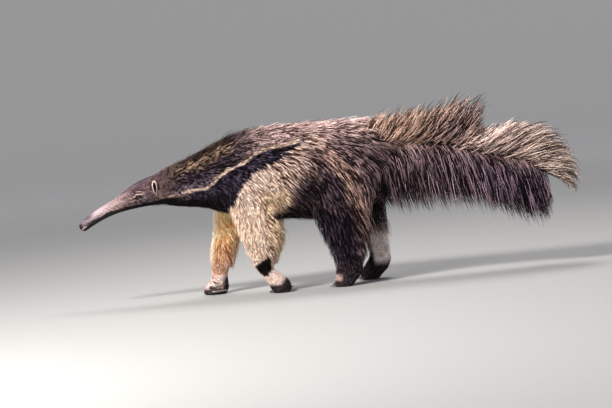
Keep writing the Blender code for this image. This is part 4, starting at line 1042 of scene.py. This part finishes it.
def coat(name, chosen, count, steps, node_slot, every=3, pull=0.32, own=0.58, lift=0.0):
    """One stretch of coat over the chosen triangles of the skin."""
    x, y, z = middles.T
    _, length, width = lie_at(middles)
    chance = areas * chosen(x, y, z) / (length * width) ** 0.6
    pick = rng.choice(len(areas), count, p=chance / chance.sum())
    one, other = np.sqrt(rng.uniform(0, 1, (count, 1))), rng.uniform(0, 1, (count, 1))
    a, b, c = (points[corners[pick, k]] for k in range(3))
    root = a * (1 - one) + b * one * (1 - other) + c * one * other
    normal = normals[corners[pick]].mean(1)
    normal /= np.linalg.norm(normal, axis=1, keepdims=True)
    fall, length, width = lie_at(root)
    x, _, z = root.T
    off_stripe, _ = on_line(x, z, STRIPE)
    by_stripe = step(off_stripe, 0.026, 0.010) * step(x, 0.43, 0.38) * step(x, -0.15, -0.10)
    fall = fall + (math.radians(-22) - fall) * by_stripe * 0.75
    length = length * (1 - 0.35 * by_stripe) * rng.uniform(0.7, 1.3, count)
    behind = np.maximum(normal[:, 0], 0) * step(z, 0.36, 0.28) * step(z, 0.09, 0.16)
    behind = np.maximum(behind, lift)
    length = length * (1 + 0.6 * behind)
    paths, facing = grown(root, normal, length, fall - 0.35 * behind, steps, behind * 0.7)
    paths, clump = clumped(paths, every, pull)
    width = width * rng.uniform(0.75, 1.25, count)
    colours = hair_colours(paths, clump, own)
    lock_mesh(name, paths, facing, width, colours, laid_flat(root))


def off_face(x, y, z):
    """Clear of the eyes and of the ears' cups."""
    off_eye = np.hypot(x - EYE["x"], z - EYE["z"])
    off_ear = np.hypot((x - EAR["x"]) / 0.009, (z - EAR["z"]) / 0.023)
    return step(off_eye, 0.011, 0.020) * (off_ear > 1)


def on_limb_skin(x, y, z, limb):
    """Whether spots lie on a limb, below its join with the body."""
    middle_y, rows = LIMBS[limb]
    middle_x, length = (np.interp(-z, -rows[:, 1], rows[:, k]) for k in (0, 2))
    beside = (np.abs(y - middle_y) < 0.078) & (np.abs(x - middle_x) < length * 1.12)
    return beside & (z < 0.325) & (z > 0.012)


def off_limbs(x, y, z):
    return ~np.any([on_limb_skin(x, y, z, limb) for limb in LIMBS], axis=0) & (z > 0.24)


# Head: very short fur that lies back from the snout, longer towards the nape, and clear of the
# eyes and the ears. The snout itself is bare hide with a bloom of hairs too short to stand up.
coat("fur_head", lambda x, y, z: step(x, -0.38, -0.24) * (x < -0.12) * off_face(x, y, z), 25500, 2,
     "head_fur", 3, 0.2, 0.6)

# Ears: a nap of short pale hair on the rim and the back of each cup, pointing up and away from it,
# each hair set on the cup's own grid.
NAP = 900
for hand, grid in ear_shapes:
    last, around = 14, grid.shape[1]
    ring, turn = rng.uniform(2, last, NAP), rng.integers(0, around, NAP)
    low = ring.astype(int)
    root = grid[low, turn] + (grid[low + 1, turn] - grid[low, turn]) * (ring - low)[:, None]
    middle = grid[:last].mean((0, 1))
    away = root - middle
    away[:, 1] = hand * 0.004
    away /= np.linalg.norm(away, axis=1, keepdims=True)
    ahead = away * 0.7 + (0.5, 0.0, 0.5) + rng.normal(0, 0.25, (NAP, 3))
    ahead /= np.linalg.norm(ahead, axis=1, keepdims=True)
    tip = root + ahead * rng.uniform(0.0020, 0.0045, (NAP, 1))
    paths = np.stack([root, tip], 1)
    tint = linear((236, 214, 196)) * rng.uniform(0.55, 1.1, (NAP, 1)) * step(ring, 0, 12)[:, None]
    colours = np.clip(np.repeat(tint[:, None], 2, 1), 0, 1)
    unwrap = np.stack([0.02 + (ring / last) * 0.04, 0.02 + turn / around * 0.04], -1)
    lock_mesh("ear_nap_" + ("left" if hand < 0 else "right"), paths, np.repeat(away[:, None], 2, 1),
              np.full(NAP, 0.0007), colours, unwrap)

# Neck and throat: hair that lies back to the shoulder and turns down before the chest, grizzled
# above the stripe and nearly black below it.
coat("coat_neck", lambda x, y, z: (x >= -0.12) & (x < 0.085) & off_limbs(x, y, z), 14500, 3,
     "neck_fur")

# Mane: stiffer black hair that stands up a little along the nape, from behind the ears to the back,
# and is thickest on the middle line.
coat("coat_mane",
     lambda x, y, z: (x > -0.16) * step(x, 0.24, 0.10) * step(np.abs(y), 0.045, 0.010) * (z > 0.47),
     1700, 3, "neck_fur", lift=0.6)

# Back, flanks and belly: coarse long hair that parts along the spine and falls on the sides,
# and shorter hair on the shoulders.
for name, chosen, count, steps in (
    ("coat_back", lambda x, y, z: z > 0.56, 9100, 4),
    ("coat_shoulder_near", lambda x, y, z: (z <= 0.56) & (y < 0) & (x < 0.33), 13500, 3),
    ("coat_flank_near", lambda x, y, z: (z <= 0.56) & (y < 0) & (x >= 0.33), 8000, 4),
    ("coat_flank_far", lambda x, y, z: (z <= 0.56) & (y >= 0), 8000, 3),
):
    coat(name, lambda x, y, z: (x >= 0.085) & (x < 0.74) & off_limbs(x, y, z) & chosen(x, y, z), count,
         steps, "back_fur")

# Legs and feet: the hair hangs down and back, longest behind the forearm and on the thigh, and
# shortens to the wrist and the ankle.
for limb, count, steps, finish in (
    ("fore_near", 12500, 3, "foreleg_fur"),
    ("fore_far", 7200, 3, "foreleg_fur"),
    ("hind_near", 6300, 4, "hindleg_fur"),
    ("hind_far", 5000, 3, "hindleg_fur"),
):
    coat("coat_leg_" + limb, lambda x, y, z: on_limb_skin(x, y, z, limb), count, steps, finish)

# Tail: a great plume. The hair leaves the bony tail in streams that start along it and bend away:
# short and upright over its root, fanned over its end, and hanging below it like a curtain.
# Rows: where a stream leaves the tail's middle line, its tip, and the degrees its tip points up.
TAIL_LINE = np.array(
    ((0.600, 0.532), (0.700, 0.530), (0.785, 0.527), (0.900, 0.520), (1.016, 0.492), (1.130, 0.457),
     (1.244, 0.415), (1.338, 0.374), (1.380, 0.352))
)
UPPER = np.array((
    (0.570, 0.715, 0.634, 0), (0.600, 0.760, 0.645, 10), (0.640, 0.815, 0.662, 28),
    (0.695, 0.880, 0.674, 38), (0.755, 0.965, 0.679, 42), (0.810, 1.050, 0.693, 42),
    (0.860, 1.130, 0.702, 40), (0.910, 1.145, 0.668, 42), (0.950, 1.132, 0.610, 44),
    (0.985, 1.130, 0.560, 44), (1.010, 1.190, 0.560, 30), (1.040, 1.280, 0.566, 4),
    (1.085, 1.358, 0.538, -16), (1.140, 1.418, 0.494, -36), (1.210, 1.456, 0.420, -60),
    (1.270, 1.470, 0.340, -82), (1.320, 1.452, 0.258, -94),
))
LOWER = np.array((
    (0.580, 0.690, 0.310, -62), (0.620, 0.735, 0.268, -64), (0.670, 0.790, 0.250, -66),
    (0.740, 0.855, 0.246, -68), (0.810, 0.925, 0.246, -68), (0.885, 1.010, 0.240, -68),
    (0.965, 1.095, 0.224, -66), (1.045, 1.180, 0.196, -64), (1.125, 1.258, 0.164, -62),
    (1.190, 1.322, 0.152, -60), (1.235, 1.344, 0.178, -64), (1.270, 1.352, 0.236, -70),
))
# How far out to the side the hair reaches along a stream, from its root to its tip.
SPREAD = np.array((0.048, 0.080, 0.095, 0.092, 0.074, 0.046))
TOP, END = (0.69, 0.03), (1.46, 0.03)  # where hair that reaches too far is held, and the room past it
CREST_END, FAN_START = 11, 9  # rows of UPPER


def held(value, limit, room):
    """Values that pass a limit are eased back to stay within the room past it."""
    return np.where(value > limit, limit + np.tanh((value - limit) / room) * room, value)


def plume(streams, count, reach, stray, longest, steps):
    """Hairs over the streams and out to the side, each along a stretch of its stream."""
    place = rng.uniform(0, len(streams) - 1, count)
    root_x, tip_x, tip_z, up = smooth_rows(streams, place).T
    root_x = root_x + rng.normal(0, 0.012, count)
    root = np.stack([root_x, np.interp(root_x, *TAIL_LINE.T) + rng.normal(0, 0.009, count)], -1)
    drop = np.interp(root_x + 0.02, *TAIL_LINE.T) - np.interp(root_x - 0.02, *TAIL_LINE.T)
    ahead = np.stack([np.full(count, 0.04), drop], -1)
    ahead /= np.linalg.norm(ahead, axis=1, keepdims=True)
    ragged = 1 + 0.03 * np.sin(place * 9.0) + 0.03 * np.sin(place * 23.0 + 1)
    span = (np.stack([tip_x, tip_z], -1) - root) * (rng.uniform(*reach, count) * ragged)[:, None]
    turn = rng.normal(0, stray * 0.4, count)
    span = np.stack([span[:, 0] * np.cos(turn) - span[:, 1] * np.sin(turn),
                     span[:, 0] * np.sin(turn) + span[:, 1] * np.cos(turn)], -1)
    size = np.linalg.norm(span, axis=1, keepdims=True)
    up = np.radians(up) + turn
    leave = root + ahead * size * rng.uniform(0.28, 0.46, (count, 1))
    arrive = root + span - np.stack([np.cos(up), np.sin(up)], -1) * size * 0.34
    start = rng.uniform(0, 1, count)[:, None] ** 1.25 * 0.66
    end = np.minimum(start + rng.uniform(longest * 0.6, longest, (count, 1)), 1.0)
    t = (start + (end - start) * np.linspace(0, 1, steps)[None, :])[..., None]
    flat = root[:, None] * (1 - t) ** 3 + leave[:, None] * 3 * t * (1 - t) ** 2
    flat = flat + arrive[:, None] * 3 * t**2 * (1 - t) + (root + span)[:, None] * t**3
    lane = rng.choice((-1.0, 1.0), count) * (1 - rng.uniform(0, 1, count) ** 1.8)
    spread = np.interp(t[..., 0], np.linspace(0, 1, len(SPREAD)), SPREAD)
    paths = np.stack([flat[..., 0], lane[:, None] * spread, flat[..., 1]], -1)
    # Each hair strays a little from its stream, and is a little wavy.
    along = paths - paths[:, :1]
    axis = rng.normal(size=(count, 1, 3))
    paths = paths + np.cross(axis, along) * stray * 0.75
    size = np.linalg.norm(along[:, -1:], axis=2, keepdims=True)
    local = np.linspace(0, 1, steps)[None, :, None]
    for _ in range(2):
        swing = rng.normal(size=(count, 1, 3)) * size * stray * 0.16
        beat, start_at = rng.uniform(3, 9, (count, 1, 1)), rng.uniform(0, 6.3, (count, 1, 1))
        paths = paths + swing * np.sin(local * beat + start_at)
    paths[..., 2] = held(paths[..., 2], *TOP)
    paths[..., 0] = held(paths[..., 0], *END)
    facing = rng.normal(0, 0.45, (count, 1, 3))
    facing[:, 0, 1] = np.sign(lane)
    return paths, np.repeat(facing, steps, 1), place, t, lane


def tail_tones(place, count, knots):
    """Tones that change along the streams, from knots of (place, dark, light, share)."""
    where = [k[0] for k in knots]
    tones = Tones(count, knots[0][1], knots[0][2], knots[0][3])
    for channel in range(3):
        tones.dark[:, channel] = np.interp(place, where, [linear(k[1])[channel] for k in knots])
        tones.light[:, channel] = np.interp(place, where, [linear(k[2])[channel] for k in knots])
    tones.share = np.interp(place, where, [k[3] for k in knots])
    return tones


UPPER_TONES = (
    (0.0, (60, 36, 30), (216, 182, 162), 0.46),
    (4.0, (50, 30, 26), (214, 180, 160), 0.42),
    (6.5, (30, 16, 18), (190, 160, 154), 0.36),
    (8.5, (40, 24, 26), (204, 176, 164), 0.40),
    (10.0, (72, 48, 48), (255, 230, 220), 0.60),
    (13.0, (62, 42, 42), (236, 212, 198), 0.52),
    (16.0, (58, 42, 40), (232, 210, 196), 0.52),
)
# The curtain's purple cast is painted cool sky light in its shade.
LOWER_TONES = (
    (0.0, (12, 5, 9), (124, 102, 110), 0.28),
    (3.0, (20, 10, 15), (172, 144, 150), 0.34),
    (7.0, (18, 8, 18), (160, 134, 150), 0.32),
    (11.0, (14, 6, 14), (142, 120, 136), 0.30),
)
for name, streams, tone_knots, count, reach, stray, longest, steps in (
    ("tail_crest", UPPER[:CREST_END], UPPER_TONES, 7500, (0.62, 1.02), 0.15, 0.46, 4),
    ("tail_fan", UPPER[FAN_START:], UPPER_TONES, 5200, (0.60, 1.04), 0.07, 0.66, 5),
    ("tail_curtain_near", LOWER, LOWER_TONES, 7000, (0.62, 1.02), 0.08, 0.60, 4),
    ("tail_curtain_far", LOWER, LOWER_TONES, 3000, (0.62, 1.02), 0.09, 0.66, 3),
):
    paths, facing, place, t, lane = plume(streams, count, reach, stray, longest, steps)
    if "curtain" in name:
        hand = -1 if "near" in name else 1
        paths[..., 1] = np.abs(paths[..., 1]) * hand
        facing[..., 1] = hand
    place = place + (FAN_START if "fan" in name else 0)
    paths, clump = clumped(paths, 3, 0.25)
    width = 0.0025 * rng.uniform(0.6, 1.4, count)
    strand = rng.uniform(0, 1, clump.max() + 1)[clump] * 0.6 + rng.uniform(0, 0.4, count)
    strand = np.clip((strand - 0.5) * 1.4 + 0.5, 0, 1)
    tint = tail_tones(place, count, tone_knots).colour(strand) * rng.uniform(0.82, 1.18, (count, 1))
    colours = tint[:, None, :] * (0.62 + 0.5 * np.linspace(0, 1, steps)[None, :, None] ** 0.8)
    near_root = step(t, 0.40, 0.06) * (0.65 if "curtain" in name else 0.35)
    root_tone = linear((186, 150, 138)) if "curtain" in name else linear((112, 80, 68))
    colours = colours + (root_tone - colours) * near_root * (strand[:, None, None] > 0.45)
    unwrap = np.stack([place / len(UPPER), (lane + 1) / 2], -1)
    lock_mesh(name, paths, facing, width, np.clip(colours, 0, 1), unwrap)


# The claws. Curved horn, dark at the root and paler at the tip. The forefeet carry two great
# claws that fold in beside the palm, as the animal walks on its knuckles, and two small ones.
FORE_CLAWS = (
    ((0.020, 0.012, 0.028), (0.026, 0.056, 0.030), (-0.034, 0.046, 0.036), 0.0072),
    ((0.024, 0.010, 0.0105), (0.036, 0.060, 0.0115), (-0.050, 0.040, 0.016), 0.0088),
    ((0.026, -0.008, 0.0075), (0.050, -0.006, 0.0070), (0.046, 0.010, 0.0060), 0.0045),
    ((0.004, 0.012, 0.050), (0.006, 0.054, 0.050), (-0.024, 0.046, 0.044), 0.0045),
)
HIND_CLAWS = (
    ((0.018, 0.026, 0.009), (0.036, 0.031, 0.012), (0.044, 0.033, 0.0035), 0.0042),
    ((0.024, 0.014, 0.009), (0.044, 0.017, 0.013), (0.053, 0.018, 0.0035), 0.0050),
    ((0.026, 0.000, 0.009), (0.047, 0.001, 0.013), (0.056, 0.002, 0.0035), 0.0052),
    ((0.024, -0.014, 0.009), (0.044, -0.016, 0.013), (0.053, -0.016, 0.0035), 0.0050),
    ((0.018, -0.026, 0.009), (0.036, -0.031, 0.012), (0.043, -0.032, 0.0035), 0.0042),
)
HORN_ROOT, HORN_TIP = linear((18, 13, 14)), linear((104, 92, 84))
horn = Finish("claw horn")
where = horn.place()
coat_colour = horn.kept("coat")
growth = horn.noise(where, 300.0, 4.0)
grown_dark = horn.mix(growth, (0.7, 0.7, 0.7, 1.0), (1.3, 1.3, 1.3, 1.0))
horn.set(
    Base_Color=horn.mix(1.0, coat_colour, grown_dark, "MULTIPLY"),
    Roughness=0.28 + growth * 0.2,
    Coat_Weight=0.2,
)
horn.bump(growth, 0.3, 0.0006)
for limb, foot, shapes in (
    ("fore_near", "foreclaw_left", FORE_CLAWS),
    ("fore_far", "foreclaw_right", FORE_CLAWS),
    ("hind_near", "hindclaw_left", HIND_CLAWS),
    ("hind_far", "hindclaw_right", HIND_CLAWS),
):
    y, rows = LIMBS[limb]
    flat = Vector((rows[-1][0], y, 0))
    inward = 1 if y < 0 else -1
    for k, shape in enumerate(shapes):
        root, bend, tip = (flat + Vector((-f, s * inward, u)) for f, s, u in shape[:3])
        points, around, rings = [], 14, 15
        for n in range(rings):
            t = n / (rings - 1)
            centre = root * (1 - t) ** 2 + bend * (2 * t * (1 - t)) + tip * t**2
            along = ((bend - root) * (1 - t) + (tip - bend) * t).normalized()
            aside = along.cross(Vector((0, 0, 1))).normalized()
            above = aside.cross(along)
            size = shape[3] * (0.10 + 0.90 * (1 - t) ** 0.55)
            for m in range(around):
                a = 2 * math.pi * m / around
                points.append(centre + aside * (math.cos(a) * size * 0.78) + above * (math.sin(a) * size))
        faces = []
        for n in range(0, (rings - 1) * around, around):
            for m in range(around):
                beside = (m + 1) % around
                faces.append([n + m, n + beside, n + around + beside, n + around + m])
        last = (rings - 1) * around
        faces += [list(range(around))[::-1], list(range(last, last + around))]
        claw = mesh_object(foot.replace("claw", "_claw") + f"_{k + 1}", np.array(points) + SHIFT, faces)
        faced_out(claw)
        t = np.repeat(np.linspace(0, 1, rings), around)[:, None]
        painted(claw.data, "coat", HORN_ROOT + (HORN_TIP - HORN_ROOT) * step(t, 0.3, 1.0))
        claw.data.materials.append(horn.material)
        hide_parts(f"{foot}_{k + 1}")
        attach(claw, "root")


# The floor and its backdrop: one pale round sheet that curves up all round, far from the animal,
# and glows a little where the lamps no longer reach it.
FLAT, TURN_UP, WALL, AROUND = 12.5, 3.0, 6.0, 96
rows = [(0.5, 0.0), (2.0, 0.0), (FLAT, 0.0)]
for a in np.linspace(0.1, math.pi / 2, 12):
    rows.append((FLAT + math.sin(a) * TURN_UP, TURN_UP - math.cos(a) * TURN_UP))
rows.append((FLAT + TURN_UP, WALL))
turns = np.arange(AROUND) * 2 * math.pi / AROUND
points = np.array([(r * math.cos(a), r * math.sin(a), z) for r, z in rows for a in turns])
faces = [list(range(AROUND))]
for row in range(len(rows) - 1):
    for k in range(AROUND):
        a, b = row * AROUND + k, row * AROUND + (k + 1) % AROUND
        faces.append([a, a + AROUND, b + AROUND, b])
floor = mesh_object("floor", points, faces)
paper = Finish("pale paper")
where = paper.place()
tooth = paper.noise(where, 30.0, 4.0)
paper.set(Base_Color=paper.mix(tooth, (0.27, 0.268, 0.262, 1.0), (0.29, 0.287, 0.28, 1.0)))
paper.set(Roughness=0.9)
far_off = paper.node("ShaderNodeVectorMath", {"operation": "LENGTH"}, [where], "Value")
glow = paper.node("ShaderNodeMapRange", {"interpolation_type": "SMOOTHSTEP"}, [far_off, 1.5, 9.0])
paper.set(Emission_Color=paper.mix(glow, (0.0, 0.0, 0.0, 1.0), (0.19, 0.19, 0.19, 1.0)))
paper.set(Emission_Strength=1.0)
floor.data.materials.append(paper.material)

# Light: a broad soft key high on the camera's side and towards the head, a weak fill from the
# tail's side, a low lamp in front of the shoulder, one high behind the back, and a low even sky.
# Each lamp has its place, its width in metres, its power in watts and its colour.
LAMPS = (
    ("key", (-2.6, -2.9, 3.6), 1.3, 480.0, (1.0, 0.965, 0.93)),
    ("fill", (2.8, -4.2, 1.7), 2.6, 45.0, (0.94, 0.94, 1.0)),
    ("front", (-2.4, -3.2, 0.9), 1.2, 80.0, (1.0, 0.97, 0.94)),
    ("top", (0.4, 1.6, 4.0), 2.0, 150.0, (1.0, 0.98, 0.96)),
)
for name, place, size, power, tint in LAMPS:
    lamp = bpy.data.lights.new(name, "AREA")
    lamp.shape, lamp.size, lamp.energy, lamp.color = "DISK", size, power, tint
    made = bpy.data.objects.new(name, lamp)
    made.location = place
    made.rotation_euler = (Vector((0.0, 0, 0.35)) - Vector(place)).to_track_quat("-Z", "Y").to_euler()
    bpy.context.scene.collection.objects.link(made)
sky = bpy.data.worlds.new("sky")
sky.use_nodes = True
sky.node_tree.nodes["Background"].inputs["Color"].default_value = (0.84, 0.86, 1.0, 1.0)
sky.node_tree.nodes["Background"].inputs["Strength"].default_value = 0.34
bpy.context.scene.world = sky
bpy.context.scene.view_settings.view_transform = "Standard"

# The camera: a long lens nearly side-on, a little above the back, rolled as the photo is. Its
# height above the level and its roll are in degrees, and it sees this width at the animal, in metres.
VIEW = {"aim": (0.396, 0.0, 0.3256), "distance": 10.0, "height": 3.5, "roll": 5.6, "width": 2.387}
lift, roll = math.radians(VIEW["height"]), math.radians(VIEW["roll"])
back = Vector((0, -math.cos(lift), math.sin(lift)))
level_up = Vector((0, math.sin(lift), math.cos(lift)))
right = Vector((1, 0, 0)) * math.cos(roll) - level_up * math.sin(roll)
up = Vector((1, 0, 0)) * math.sin(roll) + level_up * math.cos(roll)
lens = bpy.data.cameras.new("camera")
lens.sensor_width = 36.0
lens.lens = lens.sensor_width * VIEW["distance"] / VIEW["width"]
camera = bpy.data.objects.new("camera", lens)
place = Matrix((right, up, back)).transposed().to_4x4()
place.translation = Vector(VIEW["aim"]) + Vector(SHIFT) + back * VIEW["distance"]
camera.matrix_world = place
bpy.context.scene.collection.objects.link(camera)
bpy.context.scene.camera = camera
